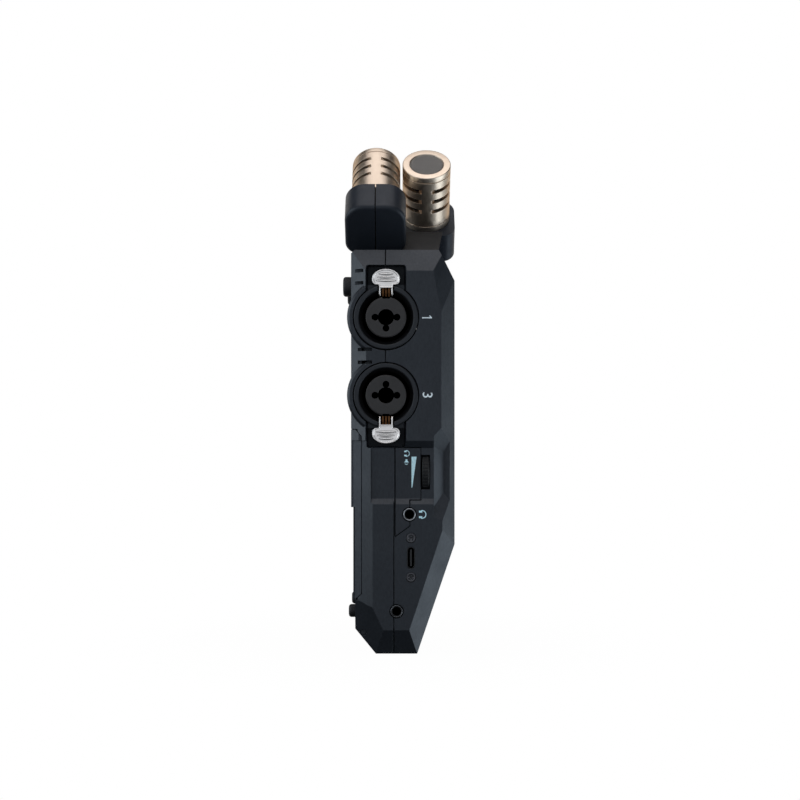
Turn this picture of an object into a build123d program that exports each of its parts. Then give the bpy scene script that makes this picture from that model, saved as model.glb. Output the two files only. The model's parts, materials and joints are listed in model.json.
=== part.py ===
from build123d import *
import math
import os

os.makedirs("parts", exist_ok=True)

# Frame: +Z towards the microphones, -Y the display side, -X the side with inputs 1 and 3.
# The origin is in the bottom end face, under the axes of the combination jacks.

# ---------------------------------------------------------------- driving dimensions (mm)
width = 78.0
body_length = 165.0
front_y = -28.0
back_y = 14.3
lower_back_y = 13.4
wall = 2.0
seam_gap = 0.45
seam_depth = 1.4
fit_gap = 0.25
panel_gap = 0.35

half_width = width / 2
jack_pitch = 31.6
lower_jack_z = 105.6
upper_jack_z = lower_jack_z + jack_pitch
seam_y = 0.0
lower_seam_y = -3.4
step_z = 86.5

# faceted outline
bevel_front_y = -22.4
bevel_front_x = 31.5
bevel_back_y = 8.1
bevel_back_x = 33.0
top_facet_z = 156.0
top_facet_x = 33.0
top_front_y = -21.5
top_front_z = 152.5
top_back_chamfer = 1.5
bottom_facet_z = 11.5
bottom_facet_x = 32.0
slope_top_z = 44.7
slope_foot_y = -12.7
lower_side_x = 38.4
pocket_x = 36.8
pocket_top_z = 84.2
pocket_low_z = 63.7

# microphones
mic_radius = 10.3
mic_gap = 0.9
mic_mid_y = -6.3
mic_y = mic_mid_y + mic_radius + mic_gap / 2
cap_centre_x = 4.5
cap_centre_z = 204.8
mic_exposed = 29.3
mic_wall = 1.6
cap_height = 3.4
grille_radius = 7.1
slot_height = 1.9
slot_pitch = 5.2
arm_length = 15.4
arm_half = 12.6
arm_top_corner = 8.2
arm_low_corner = 5.5
tube_inside = 13.0
module_front_y = -23.8
module_back_y = 11.2

# combination jacks
flange_radius = 13.05
throat_radius = 11.1
core_radius = 8.3
collar_radius = jack_pitch / 2
latch_reach = 19.4
latch_floor_x = 34.6
pin_circle = 4.45
pin_radius = 1.4
pin_depth = 10
plug_radius = 3.3
jack_depth = 17.0
core_length = 16.4

# volume wheel
wheel_radius = 8.8
wheel_x = -30.1
wheel_z = 74.4
wheel_mid_y = -16.1
wheel_thick = 2.9
wheel_slot_y = (-17.85, -14.35)

# slope controls
slope_out = Vector(0, -slope_top_z, front_y - slope_foot_y).normalized()
slope_plane = Plane(
    origin=(0, (front_y + slope_foot_y) / 2, slope_top_z / 2),
    x_dir=(1, 0, 0),
    z_dir=slope_out,
)
# centre in the slope plane and radius of every button
button_spots = {
    "rewind_button": (-15.0, 13.0, 4.4),
    "play_button": (0.0, 13.0, 4.4),
    "forward_button": (15.0, 13.0, 4.4),
    "stop_button": (-15.0, -1.0, 4.4),
    "record_button": (0.0, -2.0, 6.4),
    "mark_button": (15.0, -1.0, 4.4),
    "home_button": (0.0, -15.5, 3.6),
}


def write(piece, name):
    """Label a finished piece and write its STEP file."""
    piece.label = name
    export_step(piece, f"parts/{name}.step")


def block(x_range, y_range, z_range):
    """Plain block between two corners, used to cut or to keep a region."""
    with BuildPart() as piece:
        with BuildSketch(Plane.XY.offset(z_range[0])):
            with Locations(((x_range[0] + x_range[1]) / 2, (y_range[0] + y_range[1]) / 2)):
                Rectangle(x_range[1] - x_range[0], y_range[1] - y_range[0])
        extrude(amount=z_range[1] - z_range[0])
    return piece.part


def both_sides(x_range, y_range, z_range):
    """The same block on the left and on the right of the body."""
    return [
        block(x_range, y_range, z_range),
        block((-x_range[1], -x_range[0]), y_range, z_range),
    ]


def side_prism(points, x_start, x_end, gap=0):
    """Outline in Y and Z, widened by a gap and extruded along X."""
    with BuildPart() as piece:
        with BuildSketch(Plane.YZ.offset(x_start)):
            with BuildLine():
                Polyline(*points, close=True)
            make_face()
            if gap:
                offset(amount=gap, kind=Kind.INTERSECTION)
        extrude(amount=x_end - x_start)
    return piece.part


def rod(centre, radius, direction, length):
    """Round rod from its start centre along a direction."""
    with BuildPart() as piece:
        with BuildSketch(Plane(origin=centre, z_dir=direction)):
            Circle(radius)
        extrude(amount=length)
    return piece.part


def facet_plane(corners, side, inset):
    """Plane through three corners of the left side, facing outwards and moved in by inset."""
    first, second, third = [Vector(-side * x, y, z) for x, y, z in corners]
    normal = (second - first).cross(third - first).normalized()
    inside = Vector(0, mic_mid_y, body_length / 2)
    if normal.dot(inside - first) > 0:
        normal = normal * -1
    return Plane(origin=first - normal * inset, z_dir=normal)


# ---------------------------------------------------------------- outer shape
corner_facets = [
    # bevel along the sloped lower front
    [(-half_width, bevel_front_y, 51.5), (-half_width, -9.3, 12.0), (-bevel_front_x, front_y, 44.7)],
    # facet at the upper front corner
    [(-half_width, bevel_front_y, 139.3), (-half_width, -19.4, 154.6), (-bevel_front_x, front_y, 152.8)],
    # facet at the lower back corner
    [(-half_width, 4.1, 18.4), (-half_width, 0.8, bottom_facet_z), (-bottom_facet_x, 4.2, 0.0)],
]


def body_shape(inset):
    """Faceted outer shape of the body, or the same shape moved inwards by inset."""
    with BuildPart() as shape:
        with BuildSketch(Plane.YZ):
            with BuildLine():
                Polyline(
                    (slope_foot_y, 0),
                    (front_y, slope_top_z),
                    (front_y, top_front_z),
                    (top_front_y, body_length),
                    (back_y - top_back_chamfer, body_length),
                    (back_y, body_length - top_back_chamfer),
                    (back_y, 60),
                    (12.7, 60),
                    (12.7, 9.8),
                    (4.2, 0),
                    close=True,
                )
            make_face()
            if inset:
                offset(amount=-inset, kind=Kind.INTERSECTION)
        extrude(amount=half_width - inset, both=True)
        with BuildSketch(Plane.XY.offset(-1)):
            with BuildLine():
                Polyline(
                    (-half_width, bevel_front_y),
                    (-bevel_front_x, front_y),
                    (bevel_front_x, front_y),
                    (half_width, bevel_front_y),
                    (half_width, bevel_back_y),
                    (bevel_back_x, back_y),
                    (-bevel_back_x, back_y),
                    (-half_width, bevel_back_y),
                    close=True,
                )
            make_face()
            if inset:
                offset(amount=-inset, kind=Kind.INTERSECTION)
        extrude(amount=body_length + 2, mode=Mode.INTERSECT)
        with BuildSketch(Plane.XZ.offset(-60)):
            with BuildLine():
                Polyline(
                    (-bottom_facet_x, 0),
                    (-half_width, bottom_facet_z),
                    (-half_width, top_facet_z),
                    (-top_facet_x, body_length),
                    (top_facet_x, body_length),
                    (half_width, top_facet_z),
                    (half_width, bottom_facet_z),
                    (bottom_facet_x, 0),
                    close=True,
                )
            make_face()
            if inset:
                offset(amount=-inset, kind=Kind.INTERSECTION)
        extrude(amount=120, mode=Mode.INTERSECT)
        for corners in corner_facets:
            for side in (1, -1):
                split(bisect_by=facet_plane(corners, side, inset), keep=Keep.BOTTOM)
    return shape.part


def lower_back_cut(side):
    """Removed corner that gives the lower body its longer back bevel."""
    with BuildPart() as cut:
        with BuildSketch(Plane.XY.offset(-1)):
            with BuildLine():
                Polyline(
                    (side * 42, 16),
                    (side * 33, 16),
                    (side * 33.4, lower_back_y),
                    (side * 35.6, 10.0),
                    (side * half_width, 4.4),
                    (side * 42, 4.4),
                    close=True,
                )
            make_face()
        extrude(amount=step_z + 1.7)
    return cut.part


def side_pocket(side):
    """Recess below the jacks, and the slightly lower side face under it."""
    with BuildPart() as cut:
        with BuildSketch(Plane.XZ.offset(-6.1)):
            with BuildLine():
                Polyline(
                    (side * 42, step_z + 0.7),
                    (side * half_width, step_z + 0.7),
                    (side * pocket_x, pocket_top_z),
                    (side * pocket_x, pocket_low_z),
                    (side * lower_side_x, 61.5),
                    (side * 42, 61.5),
                    close=True,
                )
            make_face()
        extrude(amount=6.1 + 19.4)
        with BuildSketch(Plane.XZ.offset(-20)):
            with BuildLine():
                Polyline(
                    (side * 42, 62.0),
                    (side * lower_side_x, 61.5),
                    (side * lower_side_x, -1),
                    (side * 42, -1),
                    close=True,
                )
            make_face()
        extrude(amount=50)
    return cut.part


def bevel_notch(side):
    """V-shaped finger notch in the front bevel, with slanted ends."""
    deep = (33.5, -23.4)
    rim = (34.3, -25.9)
    with BuildPart() as cut:
        with BuildSketch(Plane.XY.offset(48)):
            with BuildLine():
                Polyline(
                    (side * pocket_x, -19.4),
                    (side * deep[0], deep[1]),
                    (side * rim[0], rim[1]),
                    (side * 45, -25.9),
                    (side * 45, -19.4),
                    close=True,
                )
            make_face()
        extrude(amount=50)
        for tip_z, rim_z, deep_z in ((92.4, 86.6, 82.4), (53.6, 62.9, 66.0)):
            tip = Vector(side * half_width, bevel_front_y, tip_z)
            on_rim = Vector(side * rim[0], rim[1], rim_z)
            at_deep = Vector(side * deep[0], deep[1], deep_z)
            normal = (on_rim - tip).cross(at_deep - tip)
            if normal.Z * (tip_z - wheel_z) < 0:
                normal = normal * -1
            split(bisect_by=Plane(origin=tip, z_dir=normal), keep=Keep.BOTTOM)
    return cut.part


def collar(side, z):
    """Round collar that carries one combination jack, with a chamfered rim."""
    with BuildPart() as piece:
        with BuildSketch(Plane(origin=(side * half_width, 0, z), z_dir=(-side, 0, 0))):
            Circle(collar_radius)
        extrude(amount=17)
        chamfer(piece.edges().filter_by(GeomType.CIRCLE).group_by(Axis.X)[-1 if side > 0 else 0], 1.0)
    return piece.part


def half_tube(side, z, toward_back):
    """Front or back half of the tube behind one collar, down to the end of the jack's cup."""
    with BuildPart() as tube:
        with BuildSketch(Plane.YZ.offset(side * 37)):
            with Locations((0, z)):
                Circle(collar_radius - 0.02)
                Circle(flange_radius, mode=Mode.SUBTRACT)
            with Locations((-10 if toward_back else 10, z)):
                Rectangle(20.02, 40, mode=Mode.SUBTRACT)
        extrude(amount=-side * 13)
    return tube.part


def latch_pocket(side, z, up):
    """Recess around one push latch, with slightly sloping walls."""
    depth = half_width - latch_floor_x
    centre_z = z + up * (latch_reach + 1.6 + 8) / 2
    face = Plane(origin=(side * half_width, 0, centre_z), x_dir=(0, 1, 0), z_dir=(-side, 0, 0))
    with BuildPart() as cut:
        with BuildSketch(face.offset(-1)):
            RectangleRounded(17.0, latch_reach + 3.2 - 8, 1.4)
        extrude(amount=depth + 1, taper=11)
    return cut.part


outer = body_shape(0)

# ---------------------------------------------------------------- shared cutters and regions
with BuildPart() as rear_region:
    add(block((-45, 45), (seam_y, 30), (step_z, 170)))
    add(block((-45, 45), (lower_seam_y, 30), (-5, step_z)))

with BuildPart() as seam_band:
    add(block((-45, 45), (seam_y, seam_y + seam_gap), (step_z, 170)))
    add(block((-45, 45), (lower_seam_y, lower_seam_y + seam_gap), (-5, step_z)))
    add(body_shape(seam_depth), mode=Mode.SUBTRACT)
    # the groove stops just above the bottom end face
    add(block((-45, 45), (-10, 10), (-5, 0.6)), mode=Mode.SUBTRACT)

with BuildPart() as cavity:
    add(body_shape(wall))
    for side in (-1, 1):
        add(lower_back_cut(side), mode=Mode.SUBTRACT)
    thick_parts = [
        both_sides((33.2, 45), (-30, 20), (56, 92)),
        both_sides((30.6, 45), (-30, -17.5), (50, 96)),
        both_sides((33.2, 45), (-10, 10), (148.5, 163.5)),
        both_sides((33.2, 45), (-10, 10), (82, 98)),
        both_sides((34.4, 45), (8.5, 20), (10, 100)),
    ]
    for pair in thick_parts:
        for piece in pair:
            add(piece, mode=Mode.SUBTRACT)

with BuildPart() as solid_body:
    add(outer)
    for side in (-1, 1):
        add(lower_back_cut(side), mode=Mode.SUBTRACT)
        for z in (upper_jack_z, lower_jack_z):
            add(collar(side, z))
        add(side_pocket(side), mode=Mode.SUBTRACT)
        add(bevel_notch(side), mode=Mode.SUBTRACT)

# latch pockets, jack bores and the openings of the strap lugs, on both sides
latch_spots = [(upper_jack_z, 1), (lower_jack_z, -1)]
# height, start and end of each strap opening
lug_slots = [(156.2, 9.2, 13.4), (151.2, 9.2, 13.4), (124.2, 5.6, 11.4), (119.0, 5.6, 11.4)]
lug_slot_height = 1.3
with BuildPart() as side_cutters:
    for side in (-1, 1):
        for z, up in latch_spots:
            add(rod((side * 40, 0, z), flange_radius + 0.1, (-side, 0, 0), 24))
            add(rod((side * 40, 0, z), flange_radius + seam_gap, (-side, 0, 0), 3))
            add(latch_pocket(side, z, up))
        x_ends = sorted((side * 34.6, side * 42))
        for z, y_start, y_end in lug_slots:
            add(block(x_ends, (y_start, y_end), (z - lug_slot_height / 2, z + lug_slot_height / 2)))

# ---------------------------------------------------------------- battery door
door_top_z = 91.6
door_low_z = 22.5
door_outline = [
    (20, door_top_z),
    (12.4, door_top_z),
    (10.1, 88.8),
    (10.1, 24.9),
    (12.5, door_low_z),
    (20, door_low_z),
]
tray_half = 30.2
tray_z = (30.2, 86.4)
tray_back_y = 11.6
with BuildPart() as battery_door:
    add(solid_body.part)
    # the door stands a little higher than the body around it, most of all at its upper end
    add(block((-33, 33), (9, lower_back_y), (door_low_z, door_top_z)))
    add(block((-33, 33), (9, back_y), (78, door_top_z)))
    add(side_prism(door_outline, -36, 36), mode=Mode.INTERSECT)
    add(block((-33.2, 33.2), (0, 11.75), (0, 100)), mode=Mode.SUBTRACT)
    for step in range(3):
        ridge_z = 23.4 + step * 0.9
        add(rod((-7, lower_back_y, ridge_z), 0.45, (1, 0, 0), 14))
    for side in (-1, 1):
        with BuildSketch(Plane.XZ.offset(-14)):
            with Locations((side * 22, 84.5)):
                SlotOverall(16, 3)
        extrude(amount=-1.5, mode=Mode.SUBTRACT)
write(battery_door.part, "battery_door")

# ---------------------------------------------------------------- housings
panel_front_y = wheel_slot_y[1] + panel_gap
panel_low_z = 48.7
panel_outline = [
    (lower_seam_y - 0.5, pocket_top_z),
    (panel_front_y, pocket_top_z),
    (panel_front_y, 63.3),
    (-9.5, 63.3),
    (-9.5, 52.8),
    (lower_seam_y - 0.5, panel_low_z),
]
panel_depth_x = -34.9

phones_y = -9.5
phones_z = 57.4
usb_y = -10.1
usb_z = 39.8
usb_screw_z = (47.8, 31.9)
usb_length = 9.1
usb_height = 3.4
usb_rim = 0.3
line_y = -4.3
line_z = 18.2
small_jack_radius = 2.55
small_jack_room = 2.9
small_jack_hole = 1.85
board_x = 25.5
lens_size = (58.0, 90.0)
lens_z = 103.0
lens_gap = 0.15
screen_z = 104.0

screw_spots = [(-15.0, 158.0), (15.0, 158.0)]
low_screw_spots = [(-30.8, 24.6), (30.8, 24.6)]

with BuildPart() as port_cutters:
    # phones jack and line output on the left, external input on the right
    add(rod((-42, phones_y, phones_z), small_jack_room, (1, 0, 0), 15))
    add(rod((-42, line_y, line_z), small_jack_room, (1, 0, 0), 15))
    add(rod((42, phones_y, phones_z), small_jack_room, (-1, 0, 0), 15))
    # USB socket with its two screws
    with BuildSketch(Plane.YZ.offset(-42)):
        with Locations((usb_y, usb_z)):
            SlotOverall(usb_length, usb_height, rotation=90)
    extrude(amount=15)
    for z in usb_screw_z:
        add(rod((-42, usb_y, z), 2.1, (1, 0, 0), 4.6))
        add(rod((-42, usb_y, z), 1.1, (1, 0, 0), 6.6))

with BuildPart() as wheel_room:
    add(rod((wheel_x, wheel_mid_y + 1.65, wheel_z), wheel_radius + 0.4, (0, -1, 0), 3.3))
    add(block((-35.9, 0), (-20, -10), (60, 90)), mode=Mode.INTERSECT)
    add(block((-42, -33), wheel_slot_y, (wheel_z - 7, wheel_z + 7)))

switch_y = -10.0
switch_z = 74.0
card_z = (27.0, 47.0)
card_y = (-14.5, -5.6)
card_gap = 0.15

with BuildPart() as front_housing:
    add(solid_body.part)
    add(rear_region.part, mode=Mode.SUBTRACT)
    add(cavity.part, mode=Mode.SUBTRACT)
    for side in (-1, 1):
        for z in (upper_jack_z, lower_jack_z):
            add(half_tube(side, z, False))
    add(side_cutters.part, mode=Mode.SUBTRACT)
    add(port_cutters.part, mode=Mode.SUBTRACT)
    add(wheel_room.part, mode=Mode.SUBTRACT)
    add(side_prism(panel_outline, -45, panel_depth_x, panel_gap), mode=Mode.SUBTRACT)
    panel_back = (lower_seam_y - 0.6, lower_seam_y + 1)
    add(block((-45, panel_depth_x), panel_back, (panel_low_z, pocket_top_z + panel_gap)), mode=Mode.SUBTRACT)
    # display window and the recess for its lens
    with BuildSketch(Plane.XZ.offset(-front_y)):
        with Locations((0, lens_z)):
            RectangleRounded(lens_size[0] + 2 * lens_gap, lens_size[1] + 2 * lens_gap, 4 + lens_gap)
    extrude(amount=-1.2, mode=Mode.SUBTRACT)
    with BuildSketch(Plane.XZ.offset(-front_y)):
        with Locations((0, screen_z)):
            Rectangle(50, 76)
    extrude(amount=-3, mode=Mode.SUBTRACT)
    # button holes in the slope
    for x, y, radius in button_spots.values():
        with BuildSketch(slope_plane):
            with Locations((x, y)):
                Circle(radius + fit_gap)
        extrude(amount=-3, mode=Mode.SUBTRACT)
    # bosses that take the housing screws
    for x, z in screw_spots:
        add(rod((x, 0, z), 3, (0, -1, 0), 23.0))
        add(rod((x, 0, z), 1.2, (0, -1, 0), 12), mode=Mode.SUBTRACT)
    for x, z in low_screw_spots:
        add(rod((x, -4.62, z), 2.7, (0, -1, 0), 14.3))
        add(rod((x, -4.62, z), 1.2, (0, -1, 0), 7), mode=Mode.SUBTRACT)
    # opening for the microphone connector
    add(block((-10, 10), (-13, -5), (160, 170)), mode=Mode.SUBTRACT)
    # right side: power switch slot and card opening with the recess for its door
    switch_slot_y = (switch_y - 1.2, switch_y + 1.2)
    add(block((30, 42), switch_slot_y, (switch_z - 5.5, switch_z + 5.5)), mode=Mode.SUBTRACT)
    door_recess_y = (card_y[0] - card_gap, card_y[1] + card_gap)
    door_recess_z = (card_z[0] - card_gap, card_z[1] + card_gap)
    add(block((37.0, 42), door_recess_y, door_recess_z), mode=Mode.SUBTRACT)
    add(block((30, 42), (-12.6, -8.6), (card_z[0] + 3, card_z[1] - 3)), mode=Mode.SUBTRACT)
write(front_housing.part, "front_housing")

with BuildPart() as volume_panel:
    add(solid_body.part)
    add(rear_region.part, mode=Mode.SUBTRACT)
    add(side_prism(panel_outline, -45, panel_depth_x - 0.02), mode=Mode.INTERSECT)
    add(rod((-42, phones_y, phones_z), small_jack_room, (1, 0, 0), 15), mode=Mode.SUBTRACT)
write(volume_panel.part, "volume_panel")

tripod_z = 112.0
tripod_boss_radius = 6.0
tripod_bore = 3.175
speaker_z = 141.0
speaker_slots = 10.5
# x, z, seat in y, radius and height of every foot
foot_spots = [(-27.0, 150.3, back_y, 4.1, 3.4), (27.0, 150.3, back_y, 4.1, 3.4)]
foot_spots += [(-20.8, 16.1, 12.7, 2.7, 2.9), (20.8, 16.1, 12.7, 2.7, 2.9)]
with BuildPart() as rear_housing:
    add(solid_body.part)
    add(rear_region.part, mode=Mode.INTERSECT)
    add(cavity.part, mode=Mode.SUBTRACT)
    for side in (-1, 1):
        for z in (upper_jack_z, lower_jack_z):
            add(half_tube(side, z, True))
    # battery tray
    tray_outside = (-tray_half - 1.8, tray_half + 1.8)
    add(block(tray_outside, (-4.6, tray_back_y), (tray_z[0] - 7, tray_z[1] + 1.6)))
    add(block(tray_outside, (6, tray_back_y), (tray_z[1], door_top_z + 1.5)))
    for x, z in low_screw_spots:
        add(rod((x, lower_seam_y, z), 2.7, (0, 1, 0), 13))
        add(rod((x, lower_seam_y - 2, z), 1.6, (0, 1, 0), 20), mode=Mode.SUBTRACT)
        add(rod((x, 8.0, z), 2.5, (0, 1, 0), 12), mode=Mode.SUBTRACT)
    add(side_cutters.part, mode=Mode.SUBTRACT)
    add(seam_band.part, mode=Mode.SUBTRACT)
    add(block((-tray_half, tray_half), (-3.1, 30), tray_z), mode=Mode.SUBTRACT)
    add(block((-28, 28), (-5, 9.5), (tray_z[0] - 5.6, tray_z[0] - 1.4)), mode=Mode.SUBTRACT)
    # recess for the battery door
    with BuildSketch(Plane.XZ.offset(-tray_back_y)):
        with Locations((0, (door_top_z + door_low_z) / 2)):
            Rectangle(72.4, door_top_z - door_low_z + 2 * fit_gap)
    extrude(amount=-10, mode=Mode.SUBTRACT)
    for side in (-1, 1):
        x_ends = sorted((side * 33.05, side * 45))
        add(side_prism(door_outline, x_ends[0], x_ends[1], fit_gap), mode=Mode.SUBTRACT)
    # screw bosses at the top
    for x, z in screw_spots:
        add(rod((x, 0, z), 3, (0, 1, 0), 13))
        add(rod((x, -1, z), 1.6, (0, 1, 0), 20), mode=Mode.SUBTRACT)
        add(rod((x, back_y - 2.4, z), 2.5, (0, 1, 0), 5), mode=Mode.SUBTRACT)
    # tripod boss, speaker slots and the holes for the line output
    add(rod((0, 12.5, tripod_z), 8.5, (0, -1, 0), 9))
    add(rod((0, 20, tripod_z), tripod_boss_radius, (0, -1, 0), 13.8), mode=Mode.SUBTRACT)
    for row in range(-3, 4):
        with BuildSketch(Plane.XZ.offset(-20)):
            with Locations((0, speaker_z + row * 2.6)):
                SlotOverall(2 * math.sqrt(speaker_slots**2 - (row * 2.6) ** 2) + 1.3, 1.2)
        extrude(amount=9, mode=Mode.SUBTRACT)
    add(rod((-42, line_y, line_z), small_jack_room, (1, 0, 0), 15), mode=Mode.SUBTRACT)
    for side in (-1, 1):
        add(rod((side * 42, 9.2, 8.6), 1.3, (-side, 0, 0), 12), mode=Mode.SUBTRACT)
write(rear_housing.part, "rear_housing")

# ---------------------------------------------------------------- combination jacks
def jack_shell(side, z, up):
    """Flange and cup of one jack, with the slot for its latch."""
    face = Plane(origin=(side * 39.1, 0, z), x_dir=(0, 1, 0), z_dir=(side, 0, 0))
    with BuildPart() as shell:
        with BuildSketch(face):
            Circle(flange_radius)
        extrude(amount=-2.0)
        with BuildSketch(face.offset(-2.0)):
            Circle(flange_radius - 0.5)
        extrude(amount=-jack_depth)
        with BuildSketch(face):
            Circle(throat_radius)
        extrude(amount=-jack_depth, mode=Mode.SUBTRACT)
        outer_rim = shell.edges().filter_by(GeomType.CIRCLE).group_by(Axis.X)[-1 if side > 0 else 0]
        fillet(outer_rim, 0.45)
        z_ends = sorted((z + up * 9, z + up * 14))
        x_ends = sorted((side * 34.6, side * 42))
        add(block(x_ends, (-3.4, 3.4), z_ends), mode=Mode.SUBTRACT)
    return shell.part


def jack_core(side, z, up):
    """Insert of one jack: the plug bore in the middle and three pin holes around it."""
    face = Plane(origin=(side * 38.5, 0, z), x_dir=(0, 1, 0), z_dir=(side, 0, 0))
    up_sign = up if face.y_dir.Z > 0 else -up
    with BuildPart() as core:
        with BuildSketch(face):
            Circle(core_radius)
        extrude(amount=-core_length)
        fillet(core.edges().filter_by(GeomType.CIRCLE).group_by(Axis.X)[-1 if side > 0 else 0], 0.6)
        with BuildSketch(face):
            Circle(plug_radius)
        extrude(amount=-14, mode=Mode.SUBTRACT)
        with BuildSketch(face):
            for x, y in ((pin_circle, 0), (-pin_circle, 0), (0, -pin_circle * up_sign)):
                with Locations((x, y)):
                    Circle(pin_radius)
        extrude(amount=-pin_depth, mode=Mode.SUBTRACT)
        # keyway that faces the latch
        with BuildSketch(face):
            with Locations((0, core_radius * up_sign)):
                Rectangle(3.0, 1.6)
        extrude(amount=-core_length, mode=Mode.SUBTRACT)
    return core.part


def push_latch(side, z, up):
    """Push latch: rounded thumb plate, short neck and two prongs."""
    face = Plane(origin=(side * 38.7, 0, z), x_dir=(0, side, 0), z_dir=(side, 0, 0))
    up_sign = up if face.y_dir.Z > 0 else -up
    with BuildPart() as latch:
        with BuildSketch(face):
            with Locations((0, up_sign * 15.8)):
                Ellipse(5.7, 3.9)
            with Locations((0, up_sign * 15.5)):
                RectangleRounded(11.4, 4.6, 1.9)
            with Locations((0, up_sign * 12.6)):
                Rectangle(5.8, 1.6)
        extrude(amount=-1.3)
        with BuildSketch(face):
            for x in (-2.42, 2.42):
                with Locations((x, up_sign * 10.7)):
                    Rectangle(1.0, 4.2)
        extrude(amount=-1.0)
    return latch.part


jack_names = {
    "1": (-1, upper_jack_z, 1),
    "3": (-1, lower_jack_z, -1),
    "2": (1, upper_jack_z, 1),
    "4": (1, lower_jack_z, -1),
}
for number, (side, z, up) in jack_names.items():
    write(jack_shell(side, z, up), f"jack_shell_{number}")
    write(jack_core(side, z, up), f"jack_core_{number}")
    write(push_latch(side, z, up), f"push_latch_{number}")

# ---------------------------------------------------------------- small jacks, USB, wheel
def small_jack(side, y, z, face_x):
    """Round socket for a small plug, with its square body behind the wall."""
    face = Plane(origin=(side * face_x, y, z), x_dir=(0, 1, 0), z_dir=(side, 0, 0))
    with BuildPart() as jack:
        with BuildSketch(face):
            Circle(small_jack_radius)
        extrude(amount=-(face_x - 33.0))
        fillet(jack.edges().filter_by(GeomType.CIRCLE).group_by(Axis.X)[-1 if side > 0 else 0], 0.35)
        with BuildSketch(face.offset(-(face_x - 33.0))):
            Rectangle(5.6, 5.6)
        extrude(amount=-(33.0 - board_x))
        with BuildSketch(face):
            Circle(small_jack_hole)
        extrude(amount=-12, mode=Mode.SUBTRACT)
    return jack.part


write(small_jack(-1, phones_y, phones_z, 38.6), "phones_jack")
write(small_jack(-1, line_y, line_z, 38.5), "line_out_jack")
write(small_jack(1, phones_y, phones_z, 38.5), "external_input_jack")

with BuildPart() as usb_socket:
    with BuildSketch(Plane.YZ.offset(-38.2)):
        with Locations((usb_y, usb_z)):
            SlotOverall(usb_length - 0.16, usb_height - 0.2, rotation=90)
    extrude(amount=38.2 - board_x)
    with BuildSketch(Plane.YZ.offset(-38.2)):
        with Locations((usb_y, usb_z)):
            SlotOverall(usb_length - 0.16 - 2 * usb_rim, usb_height - 0.2 - 2 * usb_rim, rotation=90)
            Rectangle(0.7, 6.7, mode=Mode.SUBTRACT)
    extrude(amount=6.2, mode=Mode.SUBTRACT)
write(usb_socket.part, "usb_socket")

with BuildPart() as usb_screws:
    for z in usb_screw_z:
        face = Plane(origin=(-38.0, usb_y, z), x_dir=(0, 1, 0), z_dir=(-1, 0, 0))
        with BuildSketch(face):
            Circle(2.0)
        extrude(amount=-0.6)
        with BuildSketch(face.offset(-0.6)):
            Circle(1.0)
        extrude(amount=-2.0)
        with BuildSketch(face):
            Rectangle(1.9, 0.5)
            Rectangle(0.5, 1.9)
        extrude(amount=-0.35, mode=Mode.SUBTRACT)
write(usb_screws.part, "usb_screws")

wheel_face = Plane(origin=(wheel_x, wheel_mid_y - wheel_thick / 2, wheel_z), z_dir=(0, 1, 0))
with BuildPart() as volume_wheel:
    with BuildSketch(wheel_face):
        Circle(wheel_radius)
    extrude(amount=wheel_thick)
    chamfer(volume_wheel.edges().filter_by(GeomType.CIRCLE), 0.35)
    with BuildSketch(wheel_face):
        with PolarLocations(wheel_radius + 0.25, 36):
            Circle(0.42)
    extrude(amount=wheel_thick, mode=Mode.SUBTRACT)
    with BuildSketch(wheel_face.offset(wheel_thick)):
        Circle(1.5)
    extrude(amount=4.0)
write(volume_wheel.part, "volume_wheel")

with BuildPart() as volume_pot:
    add(block((-33.1, -board_x), (-13.4, -8.6), (wheel_z - 4.4, wheel_z + 4.4)))
    add(rod((wheel_x, -8.6, wheel_z), 1.55, (0, -1, 0), 10), mode=Mode.SUBTRACT)
write(volume_pot.part, "volume_pot")

# ---------------------------------------------------------------- right side: switch and card slot
with BuildPart() as power_switch:
    add(block((37.05, 38.6), (switch_y - 2.0, switch_y + 2.0), (switch_z - 4.2, switch_z + 4.2)))
    fillet(power_switch.edges().filter_by(Axis.X), 0.9)
    for row in (-2, -1, 0, 1, 2):
        z = switch_z + row * 1.4
        add(block((38.3, 39), (switch_y - 2.2, switch_y + 2.2), (z - 0.3, z + 0.3)), mode=Mode.SUBTRACT)
    add(block((32.6, 37.05), (switch_y - 0.9, switch_y + 0.9), (switch_z - 2.4, switch_z + 2.4)))
write(power_switch.part, "power_switch")

with BuildPart() as power_switch_body:
    add(block((board_x, 32.5), (switch_y - 2.6, switch_y + 2.6), (switch_z - 6, switch_z + 6)))
write(power_switch_body.part, "power_switch_body")

with BuildPart() as card_door:
    add(block((37.15, 38.4), card_y, card_z))
    fillet(card_door.edges().filter_by(Axis.X), 0.8)
    with BuildSketch(Plane.YZ.offset(38.4)):
        with Locations((card_y[0] + 1.3, (card_z[0] + card_z[1]) / 2)):
            SlotOverall(7, 1.2, rotation=90)
    extrude(amount=-0.4, mode=Mode.SUBTRACT)
write(card_door.part, "card_door")

with BuildPart() as card_socket:
    add(block((board_x, 36.4), (-12.3, -8.9), (card_z[0] + 3.2, card_z[1] - 3.2)))
    add(block((27, 37), (-11.2, -10.2), (card_z[0] + 4.4, card_z[1] - 4.4)), mode=Mode.SUBTRACT)
write(card_socket.part, "card_socket")

# ---------------------------------------------------------------- display and boards
with BuildPart() as display_lens:
    with BuildSketch(Plane.XZ.offset(-front_y - 1.2)):
        with Locations((0, lens_z)):
            RectangleRounded(lens_size[0], lens_size[1], 4)
    extrude(amount=1.1)
    chamfer(display_lens.faces().sort_by(Axis.Y)[0].edges(), 0.3)
write(display_lens.part, "display_lens")

with BuildPart() as display_module:
    with BuildSketch(Plane.XZ.offset(-front_y - 2.05)):
        with Locations((0, screen_z)):
            Rectangle(54, 82)
    extrude(amount=-2.9)
write(display_module.part, "display_module")

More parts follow.
